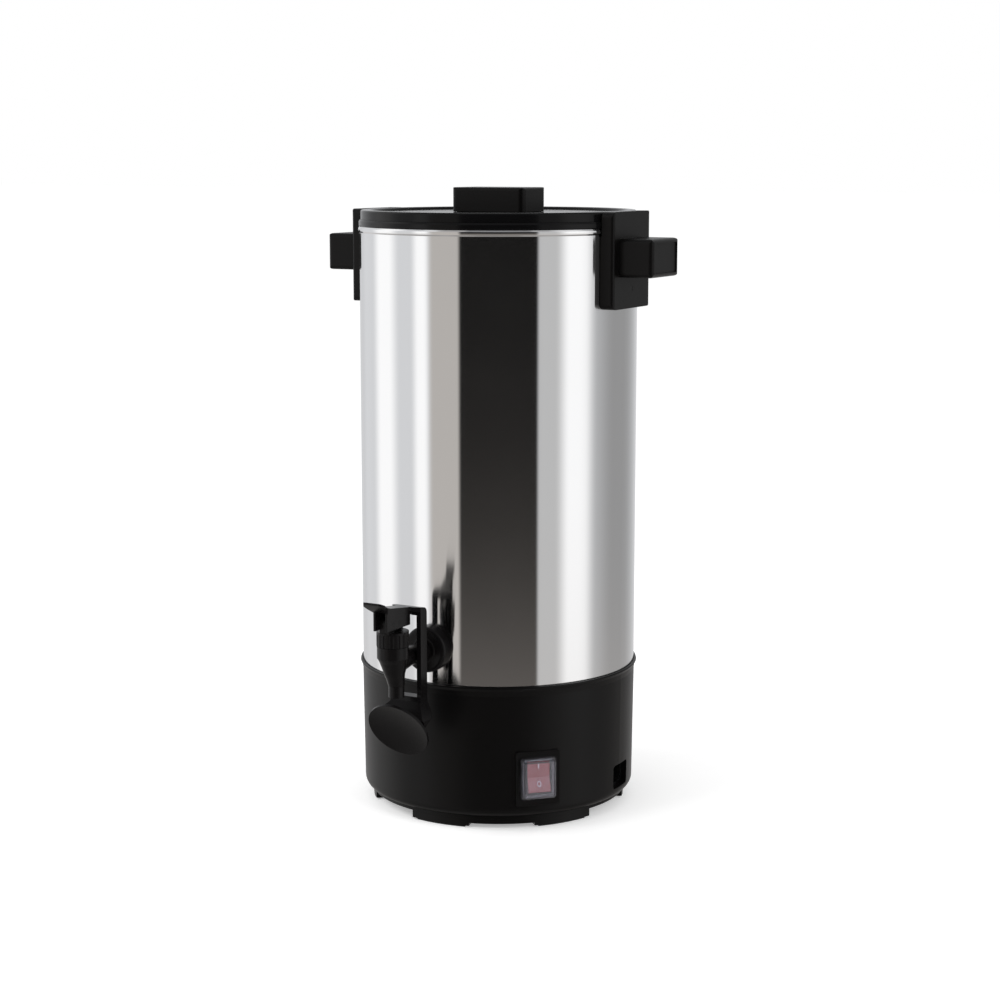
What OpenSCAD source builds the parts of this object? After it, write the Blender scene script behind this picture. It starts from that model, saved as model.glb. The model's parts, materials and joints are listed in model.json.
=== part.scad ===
// Coffee urn with a push-back tap: a steel percolator tank on a plastic base, millimetres.
// The origin is on the tank's axis at table level. +Z is up, the tap faces -Y, the handles lie on X.

/* [Tank] */
// Outside diameter of the steel tank
tank_d = 240; // [225:1:255]
// Height of the tank, from the underside of its floor to its rim
tank_h = 387; // [350:1:430]
// Thickness of the tank's sheet steel
tank_wall = 1; // [0.8:0.1:1.4]
// Radius of the drawn corner between the wall and the floor
tank_corner = 9; // [9:0.5:12]
// Height of the rolled bead below the rim
bead_h = 5; // [4:0.5:6]
// How far the bead stands out of the wall
bead_out = 1; // [0.6:0.1:1.2]
// Outside diameter of the pump well in the floor
well_d = 70; // [66:1:74]
// Depth of the pump well
well_depth = 14; // [12:0.5:16]

/* [Base] */
// Height of the base's lip above the table
base_h = 125; // [118:1:140]
// How far the base's wall lies inside the tank's
base_inset = 1; // [0.5:0.1:2]
// How much the base's wall widens from its lower edge to its lip
base_draft = 1.3; // [0:0.1:2]
// Wall thickness of the base housing
base_wall = 3; // [2.5:0.1:3.4]
// How far the lip stands out of the tank
lip_out = 2.3; // [1.8:0.1:3]
// How far the lip reaches up past the tank's floor
lip_overlap = 8; // [7:0.5:9]
// Radius of the rounded lower edge of the base
base_round = 8; // [6:0.5:10]
// Radial width of the ledge that carries the tank's floor
ledge_w = 18; // [16:1:22]
// Radius of the circle of studs under the tank's floor
stud_in = 17; // [15:1:19]

/* [Feet and bottom cover] */
// Height of the base's lower rim above the table
foot_h = 11; // [10:0.5:14]
// How far the feet lie inside the tank's outside
foot_inset = 8; // [7:0.5:9]
// Angle that each foot spans
foot_span = 86; // [70:1:90]
// Angle that the notch under the middle of each foot spans
notch_span = 29; // [20:1:34]
// Height of the notch above the table
notch_h = 4; // [3:0.5:5]
// Radial width of each foot
foot_w = 15; // [13:0.5:18]
// Thickness of the bottom cover
cover_t = 3; // [2.5:0.5:4]
// How far the rubber pads stand out of the feet
pad_out = 1.5; // [1:0.1:2]
// Number of vent slots in the bottom cover
vent_count = 18; // [12:1:24]

/* [Switch] */
// Direction of the switch, from the tap towards +X
switch_phi = 44.5; // [40:0.5:55]
// Height of the switch's middle above the table
switch_z = 46; // [40:1:55]
// Width and height of the flat raised panel round the switch
switch_panel = [38.6, 47]; // [34:0.2:60]
// How far the panel stands out of the base's wall
panel_out = 1.5; // [1:0.1:3]
// Width and height of the clear switch cover
switch_cover_size = [30.4, 35]; // [30:0.2:37]
// Angle that the rocker swings through
rocker_swing = 20; // [14:1:22]

/* [Power inlet] */
// Direction of the inlet, from the tap towards +X
inlet_phi = 92; // [88:1:110]
// Height of the inlet's middle above the table
inlet_z = 30.5; // [30.5:0.5:60]
// Depth of the inlet's recess below the base's wall
inlet_depth = 6; // [5:0.5:8]

/* [Tap] */
// Height of the tap's shank above the base's lip
tap_rise = 31; // [29:1:60]
// Distance from the tank's wall to the barrel's axis
tap_reach = 60.5; // [58:0.5:70]
// Diameter of the tap's barrel
barrel_d = 26; // [24.5:0.5:28]
// How far the spout's mouth lies behind the barrel's axis
spout_back = 5.3; // [4:0.1:6]
// Diameter of the spout's mouth
spout_d = 13.6; // [13:0.1:15]
// Depth of the spout's mouth below the shank
spout_drop = 30; // [28:0.5:34]
// Diameter of the shank
shank_d = 16; // [15:0.5:17]
// Diameter and thickness of the flange on the tank's wall
flange_size = [39, 11];
// Height of the bonnet's top above the shank
bonnet_rise = 26.5; // [25.5:0.5:28]
// Diameter of the valve's stem
stem_d = 5; // [4.5:0.1:5.5]
// Diameter of the lever's two pins
pin_d = 3; // [2.5:0.1:3.4]
// Distance from the stem's axis to the lever's pivot
pivot_out = 9; // [8.5:0.1:10]
// Height of the two pins above the shank
pin_rise = 34; // [33:0.5:36]

/* [Tap lever] */
// Height of the lever's back above the shank
lever_rise = 41.5; // [40.5:0.5:45]
// Rise of the lever's top towards the thumb tab
lever_slope = 8; // [5:0.5:11]
// Width of the lever's hood over the bonnet
hood_w = 13; // [12.8:0.1:14]
// Width of the channel inside the hood
hood_slot = 9.4; // [9:0.1:9.6]
// Reach of the hood in front of and behind the stem's axis
hood_reach = [19, 17];
// Width of the thumb tab at its tip
tab_w = 20; // [18:1:26]
// Reach of the thumb tab in front of the stem's axis
tab_reach = 31.5; // [28:0.5:34]
// How far the thumb tab's tip rises above its root
tab_rise = 7.5; // [4:0.5:8]
// Distance from the stem's axis back to the lever's arms
arm_back = 27; // [26:0.5:31]
// Distance between the middles of the two arms
arm_pitch = 23; // [22.5:0.5:26]
// Thickness of each arm
arm_t = 4; // [3.5:0.1:5]
// Depth of each arm from front to back
arm_w = 10; // [6:0.5:11]
// Diameter of the round paddle
paddle_d = 54; // [48:0.5:58]
// Depth of the paddle's middle below the shank
paddle_drop = 57; // [56:0.2:62]
// Distance from the stem's axis back to the paddle's middle
paddle_back = 10.5; // [8:0.5:12]
// Slope of the paddle's face from the horizontal
paddle_slope = 60; // [52:1:66]

/* [Collar and lid] */
// Height of the collar above the tank's rim
collar_h = 6; // [5:0.5:8]
// Height of the lid's rim above the collar
lid_rim_h = 8; // [7:0.5:10]
// How far the lid's rim lies inside the tank's outside
lid_inset = 1; // [0.5:0.1:2]
// Wall thickness of the lid
lid_wall = 2.5; // [2:0.1:3]
// How far the middle of the lid lies below its rim
lid_sink = 2.5; // [2:0.5:4]
// Depth of the lid's skirt inside the collar
skirt_h = 10; // [8:0.5:12]
// Length, width and height of the lid's knob above the rim
knob_size = [70, 42, 19];
// Diameter of the lid's steam vents
vent_d = 4; // [3:0.5:5]

/* [Handles] */
// Width of the handle plates
handle_w = 72; // [64:1:80]
// Height of the handle plates
handle_h = 80.5; // [76:0.5:90]
// How far the handle plates stand out of the tank
handle_out = 7; // [6:0.5:10]
// Width of the grips
grip_w = 53; // [46:1:58]
// Reach of the grips from the handle plates
grip_out = 31; // [28:1:36]
// Height of the grips
grip_h = 32; // [28:1:36]
// Depth of the grips' top below the plates' top
grip_drop = 22; // [18:1:26]
// Wall thickness of the handle mouldings
handle_wall = 3; // [2.5:0.1:3.4]

/* [Pump and basket] */
// Outside diameter of the pump tube
tube_d = 12.7; // [11:0.1:14]
// Wall thickness of the pump tube
tube_wall = 0.8; // [0.6:0.1:1]
// Depth of the pump tube's top below the tank's rim
tube_drop = 16; // [14:1:20]
// Diameter of the pump's flared foot
pump_foot_d = 60; // [54:1:62]
// Height of the pump's flared foot
pump_foot_h = 20; // [16:1:24]
// Diameter of the coffee basket
basket_d = 165; // [140:1:180]
// Height of the coffee basket
basket_h = 85; // [70:1:100]
// Depth of the basket's rim below the tank's rim
basket_drop = 34; // [32:1:50]
// Thickness of the basket's sheet steel
basket_wall = 0.8; // [0.6:0.1:1]
// Diameter of the holes in the basket's floor and cover
hole_d = 3; // [2.5:0.1:3.5]
// Distance between the rings of holes
hole_pitch = 9; // [8.5:0.1:12]

/* [Heaters] */
// Thickness of the aluminium heater plate
plate_t = 4; // [3:0.5:5]
// Diameters of the boiling and the keep-warm element's tubes
element_d = [8, 6];
// Diameters of the two elements' rings
element_ring = [96, 124];
// Diameter and height of the two thermostats
thermostat_size = [16, 8];
// Diameter of the wires
wire_d = 3; // [2.5:0.5:3.5]

/* [Fits] */
// Clearance between pieces that are put together by hand
fit = 0.3; // [0.2:0.05:0.4]
// Radial clearance of pins and the stem in their holes
run_fit = 0.05; // [0.03:0.01:0.08]

/* [Hidden] */

$fn = 96;
eps = 0.01;
arc_steps = 6;

// Colours of the materials
black_plastic = [0.09, 0.085, 0.085];
gloss_black = [0.04, 0.04, 0.042];
steel = [0.78, 0.78, 0.8];
bright_metal = [0.68, 0.68, 0.7];
aluminium = [0.72, 0.73, 0.75];
brass = [0.76, 0.62, 0.32];
rubber_grey = [0.16, 0.16, 0.17];
silicone = [0.82, 0.8, 0.76];
red_lens = [0.72, 0.16, 0.14];
clear_vinyl = [0.86, 0.88, 0.92, 0.4];
ceramic = [0.85, 0.83, 0.78];

// Levels above the table
tank_r = tank_d / 2;
tank_in = tank_r - tank_wall;
floor_z = base_h - lip_overlap;
floor_top = floor_z + tank_wall;
well_z = floor_z - well_depth;
tank_top = floor_z + tank_h;
collar_top = tank_top + collar_h;
lid_top = collar_top + lid_rim_h;
tap_z = base_h + tap_rise;

// Base housing
base_r = tank_r - base_inset;
wall_r = base_r + base_draft;
base_in = base_r - base_wall;
ledge_t = 3;
ledge_in = base_in - ledge_w;
ledge_z = floor_z - ledge_t;
stud_r = tank_r - stud_in;
lip_flare = 8;
stud_count = 3;
stud_first = 90;
stud_l = 12;
flat_r = base_r + panel_out;
inlet_r = base_r - inlet_depth;
panel_t = 3;
panel_z = switch_z - 0.5;

// Bottom cover and feet
foot_r = tank_r - foot_inset;
foot_in = foot_r - foot_w;
cover_z = foot_h - cover_t;
foot_wall = 2.5;
foot_count = 3;
first_foot = 30;
first_boss = first_foot + 180 / foot_count;
pad_sink = 1.5;
pad_inset = 2;
pad_margin = 2;
screw_r = base_in - 18;
pad_span = (foot_span - notch_span) / 2 - 2 * pad_margin;
pad_phi = notch_span / 2 + pad_margin + pad_span / 2;
boss_d = 11;
boss_h = 8.5;
rib_r = base_in - 3;
screw_d = 4;
head_d = 7.6;
head_h = 2.6;

// Tap
tap_r = tank_r + tap_reach;
barrel_r = barrel_d / 2;
bonnet_top = tap_z + bonnet_rise;
bonnet_h = 12.5;
bonnet_out = 0.3;
neck_r = barrel_r - 2.2;
chamber_r = 7;
seat_z = tap_z - 2;
seat_bore = 3.8;
cup_r = 6.3;
cup_t = 3.5;
spout_z = tap_z - spout_drop;
spout_bore = 4.6;
shank_bore = 3.6;
bore_rise = 2;
pivot_z = tap_z + pin_rise;
lug_w = hood_slot - 2 * fit;
head_reach = 4.2;
pin_shift = 0.6;
shank_inside = 15;
nut_t = 8;
gasket_t = 2;
gasket_d = [30, 26];

// Lid, basket and pump
skirt_r = tank_in - 3.4;
collar_in = skirt_r + 2 * fit;
collar_skirt = 8;
lid_r = tank_r - lid_inset;
knob_wall = 3;
tube_r = tube_d / 2;
tube_top = tank_top - tube_drop;
basket_top = tank_top - basket_drop;
basket_z = basket_top - basket_h;
basket_r = basket_d / 2;
sleeve_in = tube_r + fit;
sleeve_t = 1;
skirt_in = skirt_r - lid_wall;
mid_top = lid_top - lid_sink;
mid_under = mid_top - lid_wall;
knob_top = lid_top + knob_size[2];
knob_z = mid_top + 1;
knob_round = 2.5;
knob_corner = 5;
pump_z = well_z + tank_wall;
foot_t = 0.8;
sleeve_h = 26;
spread_h = 6;

// Handles
handle_face = tank_r + handle_out;
handle_top = lid_top;
handle_mid = handle_top - handle_h / 2;
grip_mid = handle_top - grip_drop - grip_h / 2;
grip_face = handle_face + grip_out;
handle_screw_z = [grip_mid - 26, grip_mid + 7];
insert_d = 8;
relief_r = tank_r + bead_out + 0.4;
washer_t = 1.2;
washer_y = tank_in - 0.15;

// Inlet and switch
inlet_recess = [28.6, 21];
inlet_body = [27, 19.6];
inlet_lug = [31, 21.6];
inlet_mouth = [24.4, 16.4];
inlet_l = 20;
bezel_t = 1.6;
pin_places = [[-7, -2], [0, 2], [7, -2]];
switch_body = [23, 30.4];
switch_bezel = [25.4, 32.2];
switch_l = 20;
rocker_size = [19.4, 27.4];
axle_l = rocker_size[0] + 2;
axle_d = 3;
axle_depth = 4.5;
vinyl_t = 1.2;
dome_out = 8;

// Heaters and wiring
plate_in = well_d / 2 + 2;
plate_out = element_ring[1] / 2 + 8;
plate_z = floor_z - plate_t;
element_gap = 0.2;
element_open = 50;
lead_l = 12;
element_phi = [70, -100];
thermostat_x = 13;
disc_d = thermostat_size[0];
disc_h = thermostat_size[1];
bracket_z = well_z - disc_h + 2.5;
bracket_reach = plate_in + 5;
fuse_d = 4;
fuse_l = 14;
fuse_phi = -40;
fuse_r = element_ring[1] / 2 + 5.7;
fuse_lead = fuse_l / 2 + 4.5;
tail = 6;
blade_l = 7;
blade_in = 5;
rod_l = 8;
inlet_tail = inlet_r - inlet_l - tail - fit;
switch_tail = flat_r - switch_l - tail - fit;
disc_tail = well_z - disc_h - blade_l - fit;
element_tail = plate_z - element_gap - element_d[0] / 2 - lead_l - rod_l - fit;
warm_tail = plate_z - element_gap - element_d[1] / 2 - lead_l - rod_l - fit;

// Tap lever, stem and spring
nut_y = tank_in - gasket_t - 0.2;
flute_count = 20;
stem_foot = seat_z + cup_t;
spring_r = 4.6;
spring_wire = 0.9;
spring_turns = 6;
spring_z = stem_foot + 1.2 + 0.5;
spring_h = bonnet_top - 4 - 0.5 - spring_z;
lever_top = tap_z + lever_rise;
hood_z = bonnet_top + 2.5;
roof_t = 2.6;
hood_front = hood_reach[0];
hood_back = hood_reach[1];
arm_out = arm_pitch + arm_t;
neck_z = tap_z - 34;
paddle_z = tap_z - paddle_drop;
paddle_t = 2.4;
paddle_rake = 1 / tan(paddle_slope);
paddle_dish = 90;
// Centre (outward, height) and radius of the barrel's sections, from the barrel down to the spout
sections = [[0, tap_z + 4, barrel_r - 0.2], [-spout_back * 0.28, tap_z, barrel_r - 1.3],
    [-spout_back * 0.35, tap_z - 4, barrel_r - 2.6], [-spout_back * 0.45, tap_z - 10, spout_d / 2 + 1.9],
    [-spout_back * 0.75, tap_z - 15, spout_d / 2 + 0.8], [-spout_back, tap_z - 20.5, spout_d / 2]];

// Points of an arc about c, from angle a to angle b
function arc(c, r, a, b, n = arc_steps) = [for (i = [0:n]) let (t = a + (b - a) * i / n)
    [c[0] + r * cos(t), c[1] + r * sin(t)]];

// A rectangle centred on the origin, its corners rounded with short chords
module rounded_rect(size, r)
    polygon([for (q = [0:3]) let (sx = q == 0 || q == 3 ? 1 : -1, sy = q < 2 ? 1 : -1)
        each arc([sx * (size[0] / 2 - r), sy * (size[1] / 2 - r)], r, 90 * q, 90 * q + 90)]);

// A block rounded on all its edges, centred on the origin
module rounded_block(size, r)
    intersection() {
        linear_extrude(size[2], center = true) rounded_rect([size[0], size[1]], r);
        rotate([90, 0, 0]) linear_extrude(size[1], center = true) rounded_rect([size[0], size[2]], r);
        rotate([90, 0, 90]) linear_extrude(size[0], center = true) rounded_rect([size[1], size[2]], r);
    }

// Turns children from the tap's direction to angle phi, towards +X
module toward(phi) rotate([0, 0, phi]) children();

// Extrudes an outline of (across, up) outwards, along -Y, from distance a to distance b
module outward(a, b) rotate([90, 0, 0]) translate([0, 0, a]) linear_extrude(b - a) children();

// Extrudes an outline of (outward, up) across, along X, centred
module across(w) rotate([90, 0, -90]) linear_extrude(w, center = true) children();

// Moves children to the tap's barrel axis
module at_tap() translate([0, -tap_r, 0]) children();

// A round bar along X through the tap's point (outward, up)
module cross_bar(o, z, d, w) translate([0, -o, z]) rotate([0, 90, 0]) cylinder(d = d, h = w, center = true);

// A ring of equal copies
module ring(count, first = 0) for (i = [0:count - 1]) rotate([0, 0, first + i * 360 / count]) children();

// A hexagonal nut with a bore, standing on z = 0
module hex_nut(across_flats, h, bore_d)
    difference() {
        cylinder(d = across_flats / cos(30), h = h, $fn = 6);
        translate([0, 0, -1]) cylinder(d = bore_d, h = h + 2);
    }

// A pan-head screw: its head stands on z = 0 and its shank points down
module pan_screw(d, shank, head, head_t)
    difference() {
        union() {
            translate([0, 0, -shank]) cylinder(d = d, h = shank + eps);
            rotate_extrude() polygon(concat([[0, 0], [head / 2, 0], [head / 2, head_t * 0.45]],
                [[head * 0.38, head_t * 0.9], [head * 0.2, head_t], [0, head_t]]));
        }
        for (a = [0, 90]) rotate([0, 0, a]) translate([-head * 0.28, -d * 0.11, head_t * 0.45])
            cube([head * 0.56, d * 0.22, head_t]);
    }

// A round bar swept along points, as one closed polyhedron
module swept_bar(points, r, sides = 8) {
    last = len(points) - 1;
    steps = [for (i = [0:last]) points[min(i + 1, last)] - points[max(i - 1, 0)]];
    rings = [for (i = [0:last]) let (t = steps[i] / norm(steps[i]),
        side = abs(t[2]) > 0.9 ? [1, 0, 0] : [0, 0, 1], u = cross(t, side) / norm(cross(t, side)),
        v = cross(t, u)) for (k = [0:sides - 1]) points[i] + r * (cos(k * 360 / sides) * u
        + sin(k * 360 / sides) * v)];
    walls = [for (i = [0:last - 1]) for (k = [0:sides - 1]) let (n = (k + 1) % sides)
        [i * sides + k, (i + 1) * sides + k, (i + 1) * sides + n, i * sides + n]];
    caps = [[for (k = [0:sides - 1]) k], [for (k = [sides - 1:-1:0]) last * sides + k]];
    polyhedron(rings, concat(walls, caps), convexity = 6);
}

// Points of a cubic curve from p to q, leaving p along a and reaching q along b
function curve(p, a, b, q, n = 12) = [for (i = [0:n]) let (t = i / n)
    pow(1 - t, 3) * p + 3 * t * pow(1 - t, 2) * (p + a) + 3 * t * t * (1 - t) * (q - b) + pow(t, 3) * q];

/* ---- tank ---- */

// Outline of the tank's wall, bead, corner, floor and well, on one side of the axis
module tank_profile() {
    c = [tank_r - tank_corner, floor_z + tank_corner];
    w = well_d / 2;
    mid = tank_top - bead_h / 2;
    polygon(concat(
        [[0, well_z], [w, well_z], [w, floor_z]], arc(c, tank_corner, -90, 0, 8),
        [[tank_r, tank_top - bead_h], [tank_r + bead_out * 0.8, mid - bead_h * 0.25],
            [tank_r + bead_out, mid], [tank_r + bead_out * 0.8, mid + bead_h * 0.25],
            [tank_r + bead_out * 0.2, tank_top], [tank_in, tank_top]],
        arc(c, tank_corner - tank_wall, 0, -90, 8),
        [[w - tank_wall, floor_top], [w - tank_wall, well_z + tank_wall], [0, well_z + tank_wall]]));
}

module tank() color(steel) difference() {
    rotate_extrude() tank_profile();
    outward_hole(0, tap_z, shank_d / 2 + fit);
    for (side = [-1, 1]) for (z = handle_screw_z) outward_hole(90 * side, z, screw_d / 2 + fit);
}

// A hole through the tank's wall in direction phi at height z
module outward_hole(phi, z, r)
    toward(phi) translate([0, -tank_r + 8, z]) rotate([90, 0, 0]) cylinder(r = r, h = 16);

module tank_studs() color(bright_metal) ring(stud_count, stud_first)
    translate([0, -stud_r, floor_z - stud_l]) cylinder(d = screw_d, h = stud_l);

module stud_nuts() color(bright_metal) ring(stud_count, stud_first)
    translate([0, -stud_r, ledge_z - 3.2]) hex_nut(7, 3.2, screw_d + 0.1);

/* ---- base ---- */

// Outline of the base's wall with its rounded rim, flared lip and ledge
module base_profile() {
    seat_c = [tank_r - tank_corner, floor_z + tank_corner];
    seat_r = tank_corner + fit;
    lip_a = asin((lip_overlap - tank_corner) / seat_r);
    low_c = [base_r - base_round, foot_h + base_round];
    polygon(concat(
        arc(low_c, base_round, -72, 0),
        [[wall_r, base_h - lip_flare], [wall_r + (tank_r + lip_out - wall_r) * 0.35, base_h - lip_flare * 0.45],
            [tank_r + lip_out, base_h - 1.2], [tank_r + lip_out - 0.4, base_h]],
        arc(seat_c, seat_r, lip_a, -84),
        [[seat_c[0], floor_z], [ledge_in, floor_z], [ledge_in, ledge_z], [wall_r - base_wall - 6, ledge_z],
            [wall_r - base_wall, ledge_z - 8]],
        arc(low_c, base_round - base_wall, 0, -72)));
}

// A screw boss under the base, tied to its wall by a rib
module base_boss() difference() {
    union() {
        translate([0, -screw_r, foot_h]) cylinder(d = boss_d, h = boss_h);
        translate([-2, -rib_r, foot_h + 0.6]) cube([4, rib_r - screw_r, boss_h - 0.6]);
    }
    translate([0, -screw_r, foot_h - 1]) cylinder(d = screw_d - 0.4, h = boss_h - 0.5);
}

module base_housing() color(black_plastic) difference() {
    union() {
        rotate_extrude() base_profile();
        ring(foot_count, first_boss) base_boss();
        toward(switch_phi) translate([0, 0, panel_z]) outward(flat_r - 2 * panel_t, flat_r)
            rounded_rect(switch_panel, 2);
        intersection() {
            toward(inlet_phi) translate([0, 0, inlet_z])
                outward(inlet_r - panel_t, base_r) rounded_rect(inlet_recess + [5, 5], 4);
            cylinder(r = base_r - 0.5, h = base_h);
        }
    }
    toward(switch_phi) translate([0, 0, switch_z]) {
        outward(flat_r - 3 * panel_t, flat_r + 1) square(switch_body + [0.4, 0.4], center = true);
        outward(flat_r - 3 * panel_t, flat_r - panel_t) square(switch_body + [6, 6], center = true);
    }
    toward(inlet_phi) translate([0, 0, inlet_z]) outward(inlet_r, tank_r + 5) rounded_rect(inlet_recess, 3);
    toward(inlet_phi) translate([0, 0, inlet_z])
        outward(inlet_r - 2 * panel_t, inlet_r + 1) square(inlet_body + [0.4, 0.4], center = true);
    ring(stud_count, stud_first) translate([0, -stud_r, ledge_z - 1]) cylinder(d = screw_d + 0.8, h = ledge_t + 2);
}

// A sector of a ring, centred on the tap's direction
module ring_sector(r0, r1, z0, z1, span) rotate([0, 0, -90 - span / 2])
    rotate_extrude(angle = span) translate([r0, z0]) square([r1 - r0, z1 - z0]);

module foot() difference() {
    ring_sector(foot_in, foot_r - 0.3, pad_out, cover_z + 1, foot_span);
    ring_sector(foot_in - 1, foot_r + 1, 0, notch_h, notch_span);
    for (s = [-1, 1]) toward(s * pad_phi)
        ring_sector(foot_in + pad_inset, foot_r - pad_inset, 0, pad_out + pad_sink, pad_span);
}

module bottom_cover() color(black_plastic) difference() {
    union() {
        translate([0, 0, cover_z]) cylinder(r = foot_r, h = cover_t);
        ring(foot_count, first_foot) foot();
        ring(foot_count, first_foot) ring_sector(foot_r - 8, foot_r - 5.5, foot_h - eps, foot_h + 4, 70);
    }
    ring(foot_count, first_foot) difference() {
        ring_sector(foot_in + foot_wall, foot_r - 8.5, notch_h + foot_wall, foot_h + 1, foot_span - 6);
        for (a = [-24, -8, 8, 24]) toward(a) ring_sector(foot_in, foot_r, 0, foot_h + 2, 1.2);
    }
    ring(vent_count) translate([-1.5, -78, cover_z - 1]) cube([3, 22, cover_t + 2]);
    ring(vent_count, 180 / vent_count) translate([-1.5, -50, cover_z - 1]) cube([3, 16, cover_t + 2]);
    ring(foot_count, first_boss) translate([0, -screw_r, cover_z - 1]) cylinder(d = screw_d + 0.6, h = cover_t + 2);
}

module foot_pads() color(rubber_grey) ring(foot_count, first_foot) for (s = [-1, 1]) toward(s * pad_phi)
    ring_sector(foot_in + pad_inset + 0.1, foot_r - pad_inset - 0.1, 0, pad_out + pad_sink, pad_span - 0.2);

module bottom_screws() color(bright_metal) ring(foot_count, first_boss)
    translate([0, -screw_r, cover_z]) rotate([180, 0, 0]) pan_screw(screw_d - 0.6, 9, head_d, head_h);

/* ---- collar and handles ---- */

module collar_ring() color(black_plastic) rotate_extrude() polygon([
    [collar_in, tank_top - collar_skirt], [tank_in - 0.3, tank_top - collar_skirt], [tank_in - 0.3, tank_top],
    [tank_r + 0.2, tank_top], [tank_r + 0.5, tank_top + 1], [tank_r + 0.5, collar_top - 1.6],
    [tank_r - 0.4, collar_top], [collar_in, collar_top]]);

// One handle: a plate shaped to the tank and a grip that is hollow from below
module handle() color(black_plastic) difference() {
    union() {
        intersection() {
            translate([0, 0, handle_mid]) outward(tank_r - 8, handle_face) rounded_rect([handle_w, handle_h], 5);
            linear_extrude(lid_top + 1) translate([0, -handle_face / 2]) rounded_rect([handle_w, handle_face], 3);
        }
        translate([0, -(handle_face + grip_face) / 2 + 5, grip_mid])
            rounded_block([grip_w, grip_out + 10, grip_h], 4);
    }
    translate([0, 0, floor_z]) cylinder(r = tank_r + fit, h = tank_h);
    translate([0, 0, tank_top - bead_h - 1]) cylinder(r = relief_r, h = 40);
    difference() {
        translate([0, 0, handle_mid]) outward(tank_r - 9, handle_face - handle_wall)
            square([handle_w - 2 * handle_wall, handle_h - 2 * handle_wall], center = true);
        for (z = handle_screw_z) translate([0, 0, z]) outward(tank_r - 10, handle_face) circle(d = insert_d + 5);
        for (x = [-1, 1]) translate([x * handle_w * 0.3 - 1, -handle_face, handle_mid - handle_h / 2])
            cube([2, handle_out + 10, handle_h]);
    }
    translate([-grip_w / 2 + handle_wall, -grip_face + handle_wall, grip_mid - grip_h / 2 - 1])
        cube([grip_w - 2 * handle_wall, grip_out - 2 * handle_wall, grip_h + 1 - handle_wall]);
    translate([0, 0, grip_mid]) outward(grip_face - 1.2, grip_face + 1) rounded_rect([grip_w - 7, grip_h - 7], 2.5);
    for (z = handle_screw_z) translate([0, 0, z]) outward(tank_r - 5, handle_face) circle(d = screw_d - 0.25);
}

module handle_right() toward(90) handle();
module handle_left() toward(-90) handle();

// Moves children to each handle screw, with +Z pointing to the tank's axis
module at_handle_screws() for (side = [-1, 1]) for (z = handle_screw_z)
    toward(90 * side) translate([0, -washer_y, z]) rotate([-90, 0, 0]) children();

module handle_screws() color(bright_metal) at_handle_screws()
    translate([0, 0, washer_t]) pan_screw(screw_d - 0.4, handle_out - 2 + washer_t, head_d, head_h);

module handle_washers() color(silicone) at_handle_screws() difference() {
    cylinder(d = head_d + 2, h = washer_t);
    translate([0, 0, -1]) cylinder(d = screw_d, h = washer_t + 2);
}

/* ---- heaters and wiring ---- */

module heater_plate() color(aluminium) difference() {
    translate([0, 0, plate_z]) cylinder(r = plate_out, h = plate_t);
    translate([0, 0, plate_z - 1]) cylinder(r = plate_in, h = plate_t + 2);
}

// A tubular element: an open ring under the heater plate, its ends turned down, with thin terminals
module element(i, open_phi) {
    r = element_d[i] / 2;
    ring_r = element_ring[i] / 2;
    z = plate_z - element_gap - r;
    toward(open_phi) {
        rotate([0, 0, -90 + element_open / 2]) rotate_extrude(angle = 360 - element_open)
            translate([ring_r, z]) circle(r = r, $fn = 32);
        for (s = [-1, 1]) toward(s * element_open / 2) translate([0, -ring_r, z]) {
            sphere(r = r, $fn = 32);
            translate([0, 0, -lead_l]) cylinder(r = r, h = lead_l, $fn = 32);
            translate([0, 0, -lead_l - rod_l]) cylinder(r = r * 0.4, h = rod_l + 1, $fn = 24);
        }
    }
}

module boil_element() color(bright_metal) element(0, element_phi[0]);
module warm_element() color(bright_metal) element(1, element_phi[1]);

// A snap-disc thermostat: an aluminium cap on a moulded body, with two blades
module snap_disc(x) translate([x, 0, well_z - disc_h]) {
    translate([0, 0, disc_h - 2.5]) cylinder(d = disc_d, h = 2.5);
    cylinder(d = disc_d - 2, h = disc_h - 2.4);
    for (y = [-4, 4]) translate([-3, y - 0.4, -blade_l]) cube([6, 0.8, blade_l + 1]);
}

module thermostat() color(ceramic) snap_disc(-thermostat_x);
module boil_dry_cutout() color(brass) snap_disc(thermostat_x);

// A spring strap that presses both thermostats up against the well, on two pillars under the plate
module thermostat_bracket() color(steel) difference() {
    union() {
        translate([-bracket_reach, -disc_d * 0.7, bracket_z]) cube([2 * bracket_reach, disc_d * 1.4, 1]);
        for (s = [-1, 1]) translate([s * (bracket_reach - 2), 0, bracket_z]) cylinder(d = 4, h = plate_z - bracket_z);
    }
    for (s = [-1, 1]) translate([s * thermostat_x, 0, bracket_z - 1]) cylinder(d = disc_d - 1, h = 3);
}

// A sleeved thermal fuse in a clip under the heater plate's edge
module thermal_fuse() color(ceramic) toward(fuse_phi) {
    translate([-fuse_l / 2, -fuse_r, plate_z - fuse_d / 2 - 1]) rotate([0, 90, 0]) cylinder(d = fuse_d, h = fuse_l);
    translate([-3, -fuse_r - 2, plate_z - 1.2]) cube([6, 4, 1.2]);
    for (s = [-1, 1]) translate([s * (fuse_l / 2 + 2), -fuse_r, plate_z - fuse_d / 2 - 1])
        rotate([0, 90, 0]) cylinder(d = 1.2, h = 5, center = true);
}

// The point x across direction phi, at distance r along it and height z
function spot(phi, x, r, z) = [x * cos(phi) + r * sin(phi), x * sin(phi) - r * cos(phi), z];

// The same point's direction from the axis, with a length of 0.3 of its distance
function inwards(p, up) = [-0.3 * p[0], -0.3 * p[1], up];

// A blade of one of the two thermostats: x from the tank's axis, side -1 in front or 1 behind
function blade(x, side) = [x, side * 4, disc_tail];

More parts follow.
